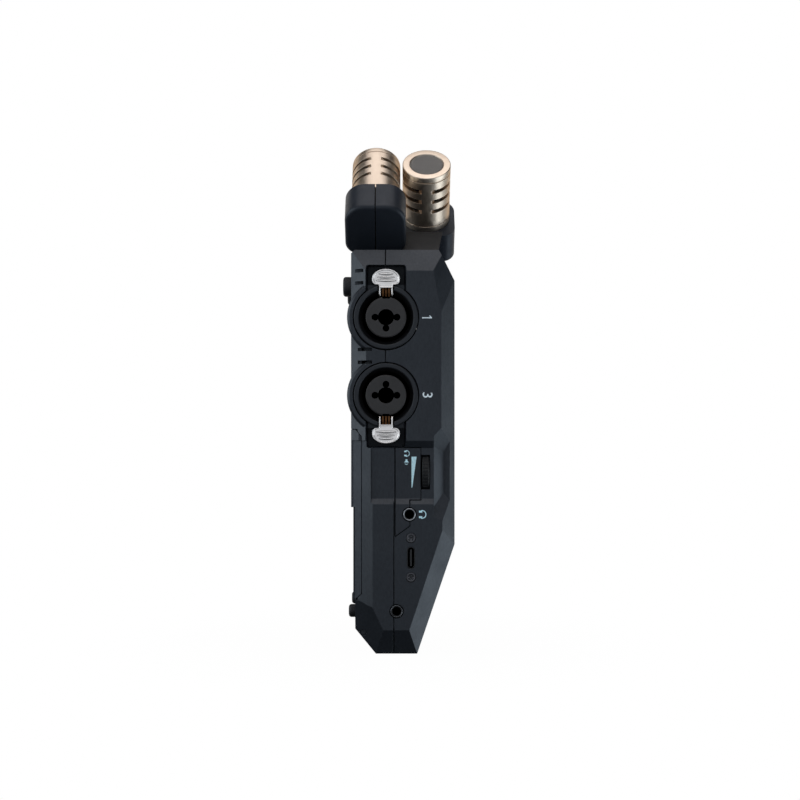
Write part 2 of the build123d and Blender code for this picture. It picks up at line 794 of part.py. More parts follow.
with BuildPart() as main_board:
    add(block((-29, 29), (-21.0, -19.4), (50, 152)))
    for x in (-20, 20):
        for z in (60, 145):
            add(block((x - 4, x + 4), (-19.4, -17.9), (z - 4, z + 4)))
write(main_board.part, "main_board")

with BuildPart() as io_boards:
    add(block((-board_x, -board_x + 1.6), (-13.0, -5.2), (13.5, 84)))
    add(block((board_x - 1.6, board_x), (-13.0, -5.2), (20, 84)))
write(io_boards.part, "io_boards")

# ---------------------------------------------------------------- buttons on the slope


def slope_button(x, y, radius):
    """Round button with a retaining flange under the wall."""
    with BuildPart() as piece:
        with BuildSketch(slope_plane.offset(-0.1)):
            with Locations((x, y)):
                Circle(radius)
        extrude(amount=-2.2)
        chamfer(piece.faces().sort_by(Axis((0, 0, 0), slope_out))[-1].edges(), 0.4)
        with BuildSketch(slope_plane.offset(-2.2)):
            with Locations((x, y)):
                Circle(radius + 0.7)
        extrude(amount=-0.8)
    return piece.part


for name, (x, y, radius) in button_spots.items():
    write(slope_button(x, y, radius), name)

with BuildPart() as button_pad:
    with BuildSketch(slope_plane.offset(-3.5)):
        RectangleRounded(42, 40, 2)
    extrude(amount=-1.0)
write(button_pad.part, "button_pad")

# ---------------------------------------------------------------- batteries and contacts
cell_radius = 7.1
cell_length = 50.5
cell_nub = 1.2
cell_y = 4.3
cell_low_z = 33.2
cell_xs = [-22.2, -7.4, 7.4, 22.2]
with BuildPart() as batteries:
    for index, x in enumerate(cell_xs):
        turned = index % 2
        foot_z = cell_low_z if turned else cell_low_z + cell_nub
        with BuildSketch(Plane(origin=(x, cell_y, foot_z))):
            Circle(cell_radius)
        extrude(amount=cell_length - cell_nub)
        nub_z = cell_low_z + cell_length - cell_nub if turned else cell_low_z
        with BuildSketch(Plane(origin=(x, cell_y, nub_z))):
            Circle(2.7)
        extrude(amount=cell_nub)
write(batteries.part, "batteries")

plate_thick = 0.6
with BuildPart() as battery_contacts:
    for index, x in enumerate(cell_xs):
        spring_low = index % 2 == 1
        low_plate_z = tray_z[0] + 0.02
        high_plate_z = tray_z[1] - 0.02 - plate_thick
        for z in (low_plate_z, high_plate_z):
            with BuildSketch(Plane(origin=(x, cell_y, z))):
                Rectangle(11, 9)
            extrude(amount=plate_thick)
        near_end = low_plate_z + plate_thick if spring_low else cell_low_z + cell_length + 0.02
        far_end = cell_low_z - 0.02 if spring_low else high_plate_z
        with BuildSketch(Plane(origin=(x, cell_y, near_end))):
            Circle(3.4)
            Circle(2.6, mode=Mode.SUBTRACT)
        extrude(amount=far_end - near_end)
write(battery_contacts.part, "battery_contacts")

# ---------------------------------------------------------------- back: feet, tripod, speaker, screws
with BuildPart() as rubber_feet:
    for x, z, y, radius, height in foot_spots:
        with BuildSketch(Plane(origin=(x, y, z), z_dir=(0, 1, 0))):
            Circle(radius)
        extrude(amount=height)
    rims = rubber_feet.edges().filter_by(GeomType.CIRCLE).group_by(Axis.Y)
    fillet(rims[-1] + rims[-2], 1.2)
write(rubber_feet.part, "rubber_feet")

with BuildPart() as tripod_insert:
    with BuildSketch(Plane(origin=(0, back_y - 0.1, tripod_z), z_dir=(0, -1, 0))):
        Circle(tripod_boss_radius - 0.02)
    extrude(amount=7.9)
    with BuildSketch(Plane(origin=(0, back_y - 0.1, tripod_z), z_dir=(0, -1, 0))):
        Circle(tripod_bore)
    extrude(amount=7.0, mode=Mode.SUBTRACT)
write(tripod_insert.part, "tripod_insert")

with BuildPart() as speaker:
    with BuildSketch(Plane(origin=(0, 12.28, speaker_z), z_dir=(0, -1, 0))):
        Circle(12.5)
    extrude(amount=2.0)
    with BuildSketch(Plane(origin=(0, 10.28, speaker_z), z_dir=(0, -1, 0))):
        Circle(6.5)
    extrude(amount=3.0)
write(speaker.part, "speaker")

with BuildPart() as housing_screws:
    all_screws = [(x, z, back_y - 2.38, 20.5) for x, z in screw_spots]
    all_screws += [(x, z, 8.02, 17.0) for x, z in low_screw_spots]
    for x, z, head_y, length in all_screws:
        face = Plane(origin=(x, head_y, z), z_dir=(0, 1, 0))
        with BuildSketch(face):
            Circle(2.3)
        extrude(amount=1.5)
        with BuildSketch(face):
            Circle(1.19)
        extrude(amount=-length)
        with BuildSketch(face.offset(1.5)):
            Rectangle(2.6, 0.6)
            Rectangle(0.6, 2.6)
        extrude(amount=-0.9, mode=Mode.SUBTRACT)
write(housing_screws.part, "housing_screws")

# ---------------------------------------------------------------- microphone module
half_root = math.sqrt(0.5)


def mic_frame(side):
    """Origin at the mouth of one arm, axis along its microphone; side -1 is the left arm."""
    reach = mic_exposed * half_root
    mouth = (side * (reach - cap_centre_x), -side * (mic_y - mic_mid_y) + mic_mid_y, cap_centre_z - reach)
    return Plane(origin=mouth, x_dir=(0, 1, 0), z_dir=(-side, 0, 1))


def arm_block(side, inset):
    """Rounded square block of one arm, or the same block with every face moved in by inset."""
    frame = mic_frame(side)
    with BuildPart() as piece:
        with BuildSketch(frame.offset(inset - arm_length)) as outline:
            Rectangle(2 * (arm_half - inset), 2 * (arm_half - inset))
            upward = Axis((0, 0, 0), (0, -side, 0))
            fillet(outline.vertices().sort_by(upward)[:2], arm_low_corner - inset)
            fillet(outline.vertices().sort_by(upward)[-2:], arm_top_corner - inset)
        extrude(amount=arm_length - inset)
        rear_rim = piece.faces().sort_by(Axis((0, 0, 0), frame.z_dir))[0].edges()
        fillet(rear_rim, 1.7)
    return piece.part


def arm(side, toward_back):
    """One half of an arm, split along the microphone axis with a shallow groove at the split."""
    frame = mic_frame(side)
    seam = frame.origin.Y
    with BuildPart() as groove:
        add(block((-60, 60), (seam - seam_gap / 2, seam + seam_gap / 2), (100, 240)))
        add(arm_block(side, seam_depth), mode=Mode.SUBTRACT)
    with BuildPart() as sleeve:
        add(arm_block(side, 0))
        with BuildSketch(frame):
            Circle(mic_radius + 0.03)
        extrude(amount=-(arm_length - 2.2), mode=Mode.SUBTRACT)
        add(block((-60, 60), (-60, 60), (100, body_length + 0.05)), mode=Mode.SUBTRACT)
        add(groove.part, mode=Mode.SUBTRACT)
        if toward_back:
            add(block((-60, 60), (-60, seam + 0.02), (100, 240)), mode=Mode.SUBTRACT)
        else:
            add(block((-60, 60), (seam - 0.02, 60), (100, 240)), mode=Mode.SUBTRACT)
    return sleeve.part


def mic_tube(side):
    """Slotted tube of one microphone, with the groove under its cap and one near its base."""
    frame = mic_frame(side)
    with BuildPart() as tube:
        with BuildSketch(frame.offset(-tube_inside)):
            Circle(mic_radius)
            Circle(mic_radius - mic_wall, mode=Mode.SUBTRACT)
        extrude(amount=tube_inside + mic_exposed - cap_height)
        with BuildSketch(frame.offset(2.6)):
            Circle(mic_radius + 1)
            Circle(mic_radius - 0.3, mode=Mode.SUBTRACT)
        extrude(amount=0.35, mode=Mode.SUBTRACT)
        # three rows of slots that run out at three bridges, one of them facing the side
        for row in range(3):
            slot_start = mic_exposed - 8.9 - row * slot_pitch
            with BuildSketch(frame.offset(slot_start)):
                Circle(mic_radius + 1)
                Circle(mic_radius - mic_wall - 0.5, mode=Mode.SUBTRACT)
                with PolarLocations(0, 3, start_angle=90):
                    bridge = [(6, -4.6), (12, -0.9), (12, 0.9), (6, 4.6)]
                    Polygon(*bridge, align=None, mode=Mode.SUBTRACT)
            extrude(amount=slot_height, mode=Mode.SUBTRACT)
    return tube.part


def mic_cap(side):
    """Rounded ring that closes the tube and holds the grille."""
    frame = mic_frame(side).offset(mic_exposed - cap_height)
    along = Axis((0, 0, 0), frame.z_dir)
    groove = 0.4
    with BuildPart() as cap:
        with BuildSketch(frame):
            Circle(mic_radius - 0.35)
            Circle(grille_radius, mode=Mode.SUBTRACT)
        extrude(amount=groove)
        with BuildSketch(frame.offset(groove)):
            Circle(mic_radius)
            Circle(grille_radius, mode=Mode.SUBTRACT)
        extrude(amount=cap_height - groove)
        top_edges = cap.faces().sort_by(along)[-1].edges()
        fillet(top_edges.sort_by(SortBy.RADIUS)[-1], 1.2)
        chamfer(cap.faces().sort_by(along)[-1].edges().sort_by(SortBy.RADIUS)[0], 0.4)
    return cap.part


def mic_grille(side):
    """Mesh disc set into the cap."""
    frame = mic_frame(side).offset(mic_exposed - 1.15)
    with BuildPart() as grille:
        with BuildSketch(frame):
            Circle(grille_radius - 0.02)
        extrude(amount=0.6)
    return grille.part


def mic_capsule(side):
    """Capsule inside the tube, behind the grille."""
    frame = mic_frame(side).offset(4.0)
    with BuildPart() as capsule:
        with BuildSketch(frame):
            Circle(7.4)
        extrude(amount=16.0)
        with BuildSketch(frame.offset(-4.0)):
            Circle(mic_radius - mic_wall - 0.02)
        extrude(amount=4.0)
    return capsule.part


for side_name, side in (("left", -1), ("right", 1)):
    write(arm(side, True), f"{side_name}_arm_back")
    write(arm(side, False), f"{side_name}_arm_front")
    write(mic_tube(side), f"{side_name}_mic_tube")
    write(mic_cap(side), f"{side_name}_mic_cap")
    write(mic_grille(side), f"{side_name}_mic_grille")
    write(mic_capsule(side), f"{side_name}_mic_capsule")

# the lower flank of each arm is a 45 degree plane that the base fills up to
left_frame = mic_frame(-1)
base_top_z = left_frame.origin.Z - arm_half * half_root
base_top_x = -(left_frame.origin.X + arm_half * half_root)
base_low_x = base_top_x + (base_top_z - body_length)
with BuildPart() as module_base:
    with BuildSketch(Plane.XZ.offset(-module_front_y)):
        with BuildLine():
            Polyline(
                (-base_low_x + 0.1, body_length + 0.03),
                (-base_top_x + 0.05, base_top_z),
                (base_top_x - 0.05, base_top_z),
                (base_low_x - 0.1, body_length + 0.03),
                close=True,
            )
        make_face()
    extrude(amount=module_front_y - module_back_y)
    # the front end of the base leans back towards the edge of the body
    base_profile = [
        (top_front_y - 0.1, body_length),
        (module_front_y, base_top_z + 0.1),
        (module_back_y, base_top_z + 0.1),
        (module_back_y, body_length),
    ]
    add(side_prism(base_profile, -half_width, half_width), mode=Mode.INTERSECT)
write(module_base.part, "module_base")

with BuildPart() as module_plug:
    add(block((-9.5, 9.5), (-12.5, -5.5), (158.6, body_length + 0.02)))
    for column in range(-3, 4):
        add(block((column * 2.4 - 0.5, column * 2.4 + 0.5), (-10, -8), (158, 160.6)), mode=Mode.SUBTRACT)
write(module_plug.part, "module_plug")

with BuildPart() as module_socket:
    add(block((-11.3, 11.3), (-14.0, -4.0), (152.3, 162.98)))
    add(block((-9.7, 9.7), (-12.7, -5.3), (156.5, 170)), mode=Mode.SUBTRACT)
write(module_socket.part, "module_socket")
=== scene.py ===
import json
import math

import bmesh
import bpy
from mathutils import Matrix, Vector


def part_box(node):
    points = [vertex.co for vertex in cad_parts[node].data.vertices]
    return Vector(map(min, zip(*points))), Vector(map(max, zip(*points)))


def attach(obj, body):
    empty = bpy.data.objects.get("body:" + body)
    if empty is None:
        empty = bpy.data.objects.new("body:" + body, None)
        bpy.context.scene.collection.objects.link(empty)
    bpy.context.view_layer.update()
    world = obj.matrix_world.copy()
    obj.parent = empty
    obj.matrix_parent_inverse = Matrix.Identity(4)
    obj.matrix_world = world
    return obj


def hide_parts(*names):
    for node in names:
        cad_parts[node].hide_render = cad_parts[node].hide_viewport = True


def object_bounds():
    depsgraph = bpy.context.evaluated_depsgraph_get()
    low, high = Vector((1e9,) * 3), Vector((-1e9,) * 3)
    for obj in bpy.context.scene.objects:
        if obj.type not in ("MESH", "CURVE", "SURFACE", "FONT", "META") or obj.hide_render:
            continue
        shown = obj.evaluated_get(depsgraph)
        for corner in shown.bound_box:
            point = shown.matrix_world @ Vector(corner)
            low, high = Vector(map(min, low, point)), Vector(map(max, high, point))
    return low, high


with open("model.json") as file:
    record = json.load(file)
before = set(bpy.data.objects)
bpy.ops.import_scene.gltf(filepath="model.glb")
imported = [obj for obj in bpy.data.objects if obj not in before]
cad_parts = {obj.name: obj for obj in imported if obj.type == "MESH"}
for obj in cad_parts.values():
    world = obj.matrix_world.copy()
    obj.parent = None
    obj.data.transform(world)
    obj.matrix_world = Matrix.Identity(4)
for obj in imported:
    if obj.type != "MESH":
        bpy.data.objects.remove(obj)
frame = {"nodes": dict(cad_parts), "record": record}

cad_low, cad_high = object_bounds()
nodes = frame["nodes"]
MM = 0.001
X_AXIS = Vector((1, 0, 0))
Y_AXIS = Vector((0, 1, 0))
Z_AXIS = Vector((0, 0, 1))


def centre_of(node):
    """Middle of a CAD node's box."""
    low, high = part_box(node)
    return (low + high) / 2


# ---------------------------------------------------------------- material building blocks
class Graph:
    """Small helper that adds and links shader nodes in one material."""

    def __init__(self, name):
        self.material = bpy.data.materials.new(name)
        self.material.use_nodes = True
        self.tree = self.material.node_tree
        self.shader = self.tree.nodes["Principled BSDF"]
        self.coords = self.add("ShaderNodeTexCoord").outputs["Object"]

    def add(self, kind, **settings):
        node = self.tree.nodes.new(kind)
        for key, value in settings.items():
            setattr(node, key, value)
        return node

    def link(self, source, target):
        self.tree.links.new(source, target)

    def noise(self, scale, detail=3.0, roughness=0.5, stretch=None):
        """Noise value over the object, optionally stretched along the axes."""
        node = self.add("ShaderNodeTexNoise")
        node.inputs["Scale"].default_value = scale
        node.inputs["Detail"].default_value = detail
        node.inputs["Roughness"].default_value = roughness
        source = self.coords
        if stretch:
            mapping = self.add("ShaderNodeMapping")
            mapping.inputs["Scale"].default_value = stretch
            self.link(self.coords, mapping.inputs["Vector"])
            source = mapping.outputs["Vector"]
        self.link(source, node.inputs["Vector"])
        return node.outputs["Fac"]

    def spread(self, value, low, high, to_low=0.0, to_high=1.0):
        """Map a value range onto another range."""
        node = self.add("ShaderNodeMapRange")
        node.inputs["From Min"].default_value = low
        node.inputs["From Max"].default_value = high
        node.inputs["To Min"].default_value = to_low
        node.inputs["To Max"].default_value = to_high
        self.link(value, node.inputs["Value"])
        return node.outputs["Result"]

    def mix_colour(self, factor, first, second):
        """Blend of two colours; each is a tuple or a socket, and so may the factor be."""
        node = self.add("ShaderNodeMix", data_type="RGBA")
        for socket, value in ((node.inputs[0], factor), (node.inputs[6], first), (node.inputs[7], second)):
            if isinstance(value, (int, float)):
                socket.default_value = value
            elif isinstance(value, tuple):
                socket.default_value = (*value, 1.0)
            else:
                self.link(value, socket)
        return node.outputs[2]

    def edge_mask(self, radius):
        """1 along sharp edges and 0 on flat faces, with the rounded normal it comes from."""
        bevel = self.add("ShaderNodeBevel", samples=4)
        bevel.inputs["Radius"].default_value = radius
        geometry = self.add("ShaderNodeNewGeometry")
        dot = self.add("ShaderNodeVectorMath", operation="DOT_PRODUCT")
        self.link(bevel.outputs["Normal"], dot.inputs[0])
        self.link(geometry.outputs["Normal"], dot.inputs[1])
        mask = self.spread(dot.outputs["Value"], 0.999, 0.93)
        return mask, bevel.outputs["Normal"]

    def open_sky(self, reach):
        """1 in the open and 0 deep in gaps and corners narrower than reach; the finishes use it to paint
        shade into gaps and seams.
        """
        occlusion = self.add("ShaderNodeAmbientOcclusion", samples=4)
        occlusion.inputs["Distance"].default_value = reach
        return self.spread(occlusion.outputs["AO"], 0.25, 0.7)

    def near_side(self, deep, shallow):
        """0 deep inside the body and 1 near its side faces, by the distance from the middle; it paints
        shade deep inside jacks and sockets.
        """
        split = self.add("ShaderNodeSeparateXYZ")
        self.link(self.coords, split.inputs[0])
        size = self.add("ShaderNodeMath", operation="ABSOLUTE")
        self.link(split.outputs["X"], size.inputs[0])
        return self.spread(size.outputs[0], deep, shallow)

    def product(self, first, second):
        node = self.add("ShaderNodeMath", operation="MULTIPLY")
        for socket, value in ((node.inputs[0], first), (node.inputs[1], second)):
            if isinstance(value, (int, float)):
                socket.default_value = value
            else:
                self.link(value, socket)
        return node.outputs[0]

    def bump(self, height, strength, distance, normal=None):
        node = self.add("ShaderNodeBump")
        node.inputs["Strength"].default_value = strength
        node.inputs["Distance"].default_value = distance
        self.link(height, node.inputs["Height"])
        if normal is not None:
            self.link(normal, node.inputs["Normal"])
        return node.outputs["Normal"]

    def finish(self, colour, roughness, normal, metallic=0.0, specular=0.5, light=None, tint=(1, 1, 1)):
        """Wire up the shader; light is a factor that fades colour and reflections: painted shade in gaps
        and deep inside the body, and in the moulded plastics also a random brushed grain.
        """
        if light is not None:
            colour = self.mix_colour(light, (0, 0, 0), colour)
            self.link(self.product(light, specular), self.shader.inputs["Specular IOR Level"])
        self.link(colour, self.shader.inputs["Base Color"])
        self.shader.inputs["Specular Tint"].default_value = (*tint, 1.0)
        if isinstance(roughness, (int, float)):
            self.shader.inputs["Roughness"].default_value = roughness
        else:
            self.link(roughness, self.shader.inputs["Roughness"])
        if normal is not None:
            self.link(normal, self.shader.inputs["Normal"])
        self.shader.inputs["Metallic"].default_value = metallic
        self.shader.inputs["Specular IOR Level"].default_value = specular
        return self.material


# reach of the painted shade in gaps and seams
GAP_REACH = 0.0011
COOL_TINT = (0.86, 0.92, 1.0)
WARM_TINT = (0.72, 0.58, 0.44)


def moulded_plastic(name, colour, lighter, roughness=0.4, grain=2600, grain_depth=0.00003, edge=0.00025):
    """Spark-textured moulding: mottled colour, fine pitted grain, edges a little paler, partly as painted
    highlight and partly as rubbing, and painted shade in gaps.
    """
    g = Graph(name)
    cloud = g.spread(g.noise(45, 4), 0.35, 0.65)
    speck = g.spread(g.noise(grain * 0.5, 2), 0.42, 0.62)
    mask, rounded = g.edge_mask(edge)
    base = g.mix_colour(cloud, colour, tuple(c * 1.16 for c in colour))
    base = g.mix_colour(speck, base, tuple(c * 1.3 for c in colour))
    # edges painted paler in patches: partly painted highlight, partly rubbing wear
    base = g.mix_colour(g.product(mask, g.spread(g.noise(160, 3), 0.3, 0.62, 0.05, 0.35)), base, lighter)
    rough = g.spread(g.noise(90, 4), 0.3, 0.7, roughness - 0.06, roughness + 0.07)
    normal = g.bump(g.noise(grain, 2, 0.6), 0.55, grain_depth, rounded)
    brushed = g.spread(g.noise(1300, 2, stretch=(1, 1, 0.4)), 0.3, 0.7, 0.92, 1.08)
    # painted shade: colour and reflections fade in gaps and seams by ambient occlusion; the brushed grain
    # on top is a random tone
    return g.finish(base, rough, normal, light=g.product(g.open_sky(GAP_REACH), brushed), tint=COOL_TINT)


def smooth_plastic(name, colour, roughness, lighter=None, specular=0.5, depth=None, tint=(1, 1, 1)):
    """Satin moulding with faint flow marks and edges painted lighter as a highlight.

    depth holds two distances from the middle of the body; below the first the colour and reflections are
    painted out to black, painted shade deep inside a jack or socket.
    """
    g = Graph(name)
    mask, rounded = g.edge_mask(0.00018)
    flow = g.spread(g.noise(30, 3, stretch=(1, 1, 3)), 0.35, 0.65)
    base = g.mix_colour(flow, colour, tuple(c * 1.25 for c in colour))
    # painted highlight: edges lighter in colour
    base = g.mix_colour(mask, base, lighter or tuple(c * 2.2 for c in colour))
    rough = g.spread(g.noise(220, 3), 0.3, 0.7, roughness - 0.05, roughness + 0.06)
    # painted shade: colour and reflections fade in gaps and seams by ambient occlusion
    light = g.open_sky(GAP_REACH)
    if depth:
        light = g.product(light, g.near_side(*depth))
    normal = g.bump(g.noise(900, 2), 0.12, 0.00002, rounded)
    return g.finish(base, rough, normal, 0.0, specular, light, tint)


def blasted_metal(name, colour, roughness=0.35, grain=2600):
    """Bead-blasted, anodised metal: pearly grain, small colour drift and edges painted lighter as a
    highlight.
    """
    g = Graph(name)
    mask, rounded = g.edge_mask(0.00022)
    drift = g.spread(g.noise(60, 3), 0.35, 0.65)
    base = g.mix_colour(drift, colour, tuple(c * 0.94 for c in colour))
    # painted highlight: edges lighter in colour
    base = g.mix_colour(mask, base, tuple(min(1.0, c * 1.1) for c in colour))
    rough = g.spread(g.noise(500, 3), 0.3, 0.7, roughness - 0.05, roughness + 0.07)
    normal = g.bump(g.noise(grain, 2, 0.65), 0.1, 0.00001, rounded)
    return g.finish(base, rough, normal, metallic=1.0, tint=WARM_TINT)


def plated_metal(name, colour, roughness=0.22, edge=None):
    """Bright plating over stamped metal, with fine rubbing marks and edges painted lighter as a highlight.
    """
    g = Graph(name)
    mask, rounded = g.edge_mask(0.00015)
    rubs = g.spread(g.noise(1400, 3, stretch=(1, 0.12, 1)), 0.35, 0.65)
    base = g.mix_colour(rubs, colour, tuple(c * 0.9 for c in colour))
    rough = g.spread(g.noise(700, 3, stretch=(1, 0.2, 1)), 0.3, 0.7, roughness - 0.06, roughness + 0.1)
    normal = g.bump(g.noise(2200, 2), 0.18, 0.00001, rounded)
    # painted highlight: edges lighter in colour, or in the given edge colour
    base = g.mix_colour(mask, base, edge or tuple(min(1.0, c * 1.15) for c in colour))
    return g.finish(base, rough, normal, metallic=1.0)


def rubber(name, colour, roughness=0.7):
    """Matte rubber with dusty mottling and edges painted lighter as a highlight."""
    g = Graph(name)
    dust = g.spread(g.noise(140, 5), 0.45, 0.75)
    base = g.mix_colour(dust, colour, tuple(c * 1.7 for c in colour))
    mask, rounded = g.edge_mask(0.0002)
    # painted highlight: edges lighter in colour
    base = g.mix_colour(mask, base, tuple(c * 1.9 for c in colour))
    rough = g.spread(g.noise(300, 3), 0.3, 0.7, roughness - 0.08, roughness + 0.08)
    return g.finish(base, rough, g.bump(g.noise(1500, 3), 0.3, 0.00003, rounded), specular=0.35)


def printed_ink(name, colour):
    """Screen-printed ink with small gaps in its cover and a slight painted glow: it emits light, though
    ink is no lamp.
    """
    g = Graph(name)
    cover = g.spread(g.noise(1800, 3), 0.3, 0.6)
    base = g.mix_colour(cover, tuple(c * 0.8 for c in colour), colour)
    # painted light: the ink glows faintly by emission
    g.link(base, g.shader.inputs["Emission Color"])
    g.shader.inputs["Emission Strength"].default_value = 0.2
    return g.finish(base, 0.5, g.bump(g.noise(2500, 2), 0.2, 0.00001))


def window_gloss(name):
    """Black-backed polished window with faint smears and edges painted lighter as a highlight."""
    g = Graph(name)
    smear = g.spread(g.noise(25, 5, 0.6, stretch=(1, 1, 0.4)), 0.4, 0.7)
    base = g.mix_colour(smear, (0.004, 0.005, 0.006), (0.009, 0.01, 0.012))
    mask, rounded = g.edge_mask(0.0002)
    rough = g.spread(smear, 0, 1, 0.05, 0.14)
    # painted highlight: edges lighter in colour
    return g.finish(g.mix_colour(mask, base, (0.05, 0.055, 0.06)), rough, rounded, specular=0.6)


def circuit_board(name):
    """Green solder mask with copper runs below it."""
    g = Graph(name)
    runs = g.spread(g.noise(700, 1, stretch=(1, 1, 0.15)), 0.48, 0.53)
    base = g.mix_colour(runs, (0.008, 0.06, 0.025), (0.02, 0.12, 0.045))
    return g.finish(base, 0.35, g.bump(runs, 0.3, 0.00003))


def cell_sleeve(name):
    """Battery sleeve: a dark lower part and a metal-coloured upper part, plain and unmarked."""
    dark_share = 0.68
    edge = 0.0001
    g = Graph(name)
    split = g.add("ShaderNodeSeparateXYZ")
    g.link(g.coords, split.inputs[0])
    low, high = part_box("batteries")
    line = low.z + (high.z - low.z) * dark_share
    band = g.spread(split.outputs["Z"], line - edge, line + edge)
    base = g.mix_colour(band, (0.02, 0.022, 0.026), (0.5, 0.33, 0.12))
    return g.finish(base, g.spread(g.noise(200), 0.3, 0.7, 0.25, 0.38), g.bump(g.noise(900), 0.1, 0.00002))


BLUE_BLACK = (0.010, 0.012, 0.0155)
# colour of the paler edges on the moulded plastics, partly painted highlight and partly rubbing wear
BLUE_BLACK_EDGE = (0.05, 0.058, 0.07)
GOLD = (0.79, 0.665, 0.54)
# distances from the middle of the body over which the jack flanges fade into painted shade
INSIDE_JACK = (0.0335, 0.0388)

finishes = {
    "housing": moulded_plastic("housing_plastic", BLUE_BLACK, BLUE_BLACK_EDGE),
    "door": moulded_plastic("door_plastic", (0.012, 0.014, 0.019), BLUE_BLACK_EDGE),
    "panel": moulded_plastic("panel_plastic", (0.0095, 0.011, 0.0145), BLUE_BLACK_EDGE),
    "jack_black": smooth_plastic(
        "flange_plastic",
        (0.006, 0.0065, 0.008),
        0.42,
        # colour of the painted edge highlight
        lighter=(0.02, 0.022, 0.026),
        depth=INSIDE_JACK,
        tint=COOL_TINT,
    ),
    # painted shade: the insert fades to black deeper inside the jack
    "jack_grey": smooth_plastic("insert_plastic", (0.021, 0.0195, 0.0195), 0.5, depth=(0.0375, 0.038)),
    "latch": plated_metal("latch_plate", (1.0, 0.95, 0.91)),
    "socket_metal": plated_metal("socket_plate", (0.42, 0.43, 0.45), 0.3),
    # painted shade: the socket fades to black deeper inside the body
    "socket_black": smooth_plastic("socket_plastic", (0.006, 0.006, 0.007), 0.4, depth=(0.036, 0.038)),
    # the last colour is the painted highlight along the screws' edges
    "screw": plated_metal("blackened_screw", (0.045, 0.046, 0.05), 0.4, (0.3, 0.31, 0.33)),
    "wheel": rubber("wheel_rubber", (0.004, 0.0045, 0.005), 0.55),
    "switch": smooth_plastic("switch_plastic", (0.012, 0.013, 0.016), 0.5),
    "lens": window_gloss("display_window"),
    "lcd": window_gloss("display_glass"),
    "board": circuit_board("board_mask"),
    "component": smooth_plastic("component_black", (0.015, 0.015, 0.016), 0.4),
    "key": rubber("key_rubber", (0.05, 0.053, 0.06), 0.5),
    "record_key": rubber("record_key_rubber", (0.42, 0.02, 0.018), 0.45),
    "pad": rubber("pad_silicone", (0.1, 0.1, 0.105), 0.6),
    "cell": cell_sleeve("cell_sleeve"),
    "contact": plated_metal("contact_plate", (0.62, 0.61, 0.58), 0.25),
    "foot": rubber("foot_rubber", (0.011, 0.0115, 0.013), 0.6),
    "brass": plated_metal("insert_brass", (0.42, 0.3, 0.12), 0.34),
    "speaker": rubber("speaker_cone", (0.03, 0.03, 0.032), 0.7),
    "arm": smooth_plastic(
        "arm_plastic",
        (0.014, 0.017, 0.023),
        0.42,
        # colour of the painted edge highlight
        lighter=(0.05, 0.054, 0.062),
        specular=0.32,
        tint=COOL_TINT,
    ),
    "base": smooth_plastic("base_plastic", (0.008, 0.008, 0.0085), 0.5, specular=0.3),
    "gold": blasted_metal("champagne_metal", GOLD),
    "mesh": plated_metal("woven_wire", (0.45, 0.43, 0.41), 0.42),
    "capsule": smooth_plastic("capsule_black", (0.012, 0.012, 0.013), 0.6),
}
ink = printed_ink("pale_ink", (0.5, 0.74, 0.82))
numeral_ink = printed_ink("numeral_ink", (0.66, 0.75, 0.8))
white_ink = printed_ink("key_ink", (0.8, 0.84, 0.86))
copper = plated_metal("copper_contact", (0.13, 0.06, 0.025), 0.4)
# black of the painted shadow sheets on the latch pocket floors
pocket_shadow_finish = smooth_plastic("pocket_shadow_black", (0.004, 0.0045, 0.0055), 0.5, specular=0.2, tint=COOL_TINT)
ring_metal = plated_metal("jack_ring", (0.42, 0.43, 0.45), 0.35)
# darker plating of the painted shadow round the latch ribs
rib_shadow_metal = plated_metal("rib_shadow_plating", (0.3, 0.29, 0.28), 0.35)
throat_black = smooth_plastic("throat_plastic", (0.007, 0.007, 0.008), 0.5, specular=0.22)
# lighter copy of the blackened screw plating: painted highlight on the rims of the screw heads
screw_rim = plated_metal("screw_rim", (0.12, 0.12, 0.13), 0.35)

for entry in frame["record"]["subparts"]:
    obj = nodes[entry["node"]]
    obj.data.materials.clear()
    obj.data.materials.append(finishes[entry["material_slot"]])


# ---------------------------------------------------------------- mesh building blocks
def piece(name, verts, faces, body, material, smooth=False):
    """Mesh object in the row frame, riding on a CAD body."""
    mesh = bpy.data.meshes.new(name)
    mesh.from_pydata([tuple(v) for v in verts], [], faces)
    bm = bmesh.new()
    bm.from_mesh(mesh)
    bmesh.ops.remove_doubles(bm, verts=bm.verts, dist=1e-7)
    bmesh.ops.recalc_face_normals(bm, faces=bm.faces)
    bm.to_mesh(mesh)
    bm.free()
    obj = bpy.data.objects.new(name, mesh)
    bpy.context.scene.collection.objects.link(obj)
    mesh.materials.append(material)
    if smooth:
        for polygon in mesh.polygons:
            polygon.use_smooth = True
        mesh.set_sharp_from_angle(angle=math.radians(35))
    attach(obj, body)
    return obj


def stacked(name, outline, levels, place, body, material, smooth=False):
    """Closed solid from one outline repeated at several levels.

    levels holds (scale, height) pairs; place maps (u, v, height) into the row frame.
    """
    verts, faces = [], []
    count = len(outline)
    for scale, height in levels:
        verts += [place(u * scale, v * scale, height) for u, v in outline]
    for level in range(len(levels) - 1):
        for i in range(count):
            j = (i + 1) % count
            a, b = level * count, (level + 1) * count
            faces.append((a + i, a + j, b + j, b + i))
    faces.append(tuple(reversed(range(count))))
    faces.append(tuple(range((len(levels) - 1) * count, len(levels) * count)))
    return piece(name, verts, faces, body, material, smooth)


def circle_outline(radius, count=48):
    turns = [2 * math.pi * i / count for i in range(count)]
    return [(radius * math.cos(t), radius * math.sin(t)) for t in turns]


def placer(origin, u_dir, v_dir, out_dir):
    """Function from local (u, v, height) to the row frame."""
    return lambda u, v, h: origin + u_dir * u + v_dir * v + out_dir * h


OUTSIDE = 60 * MM


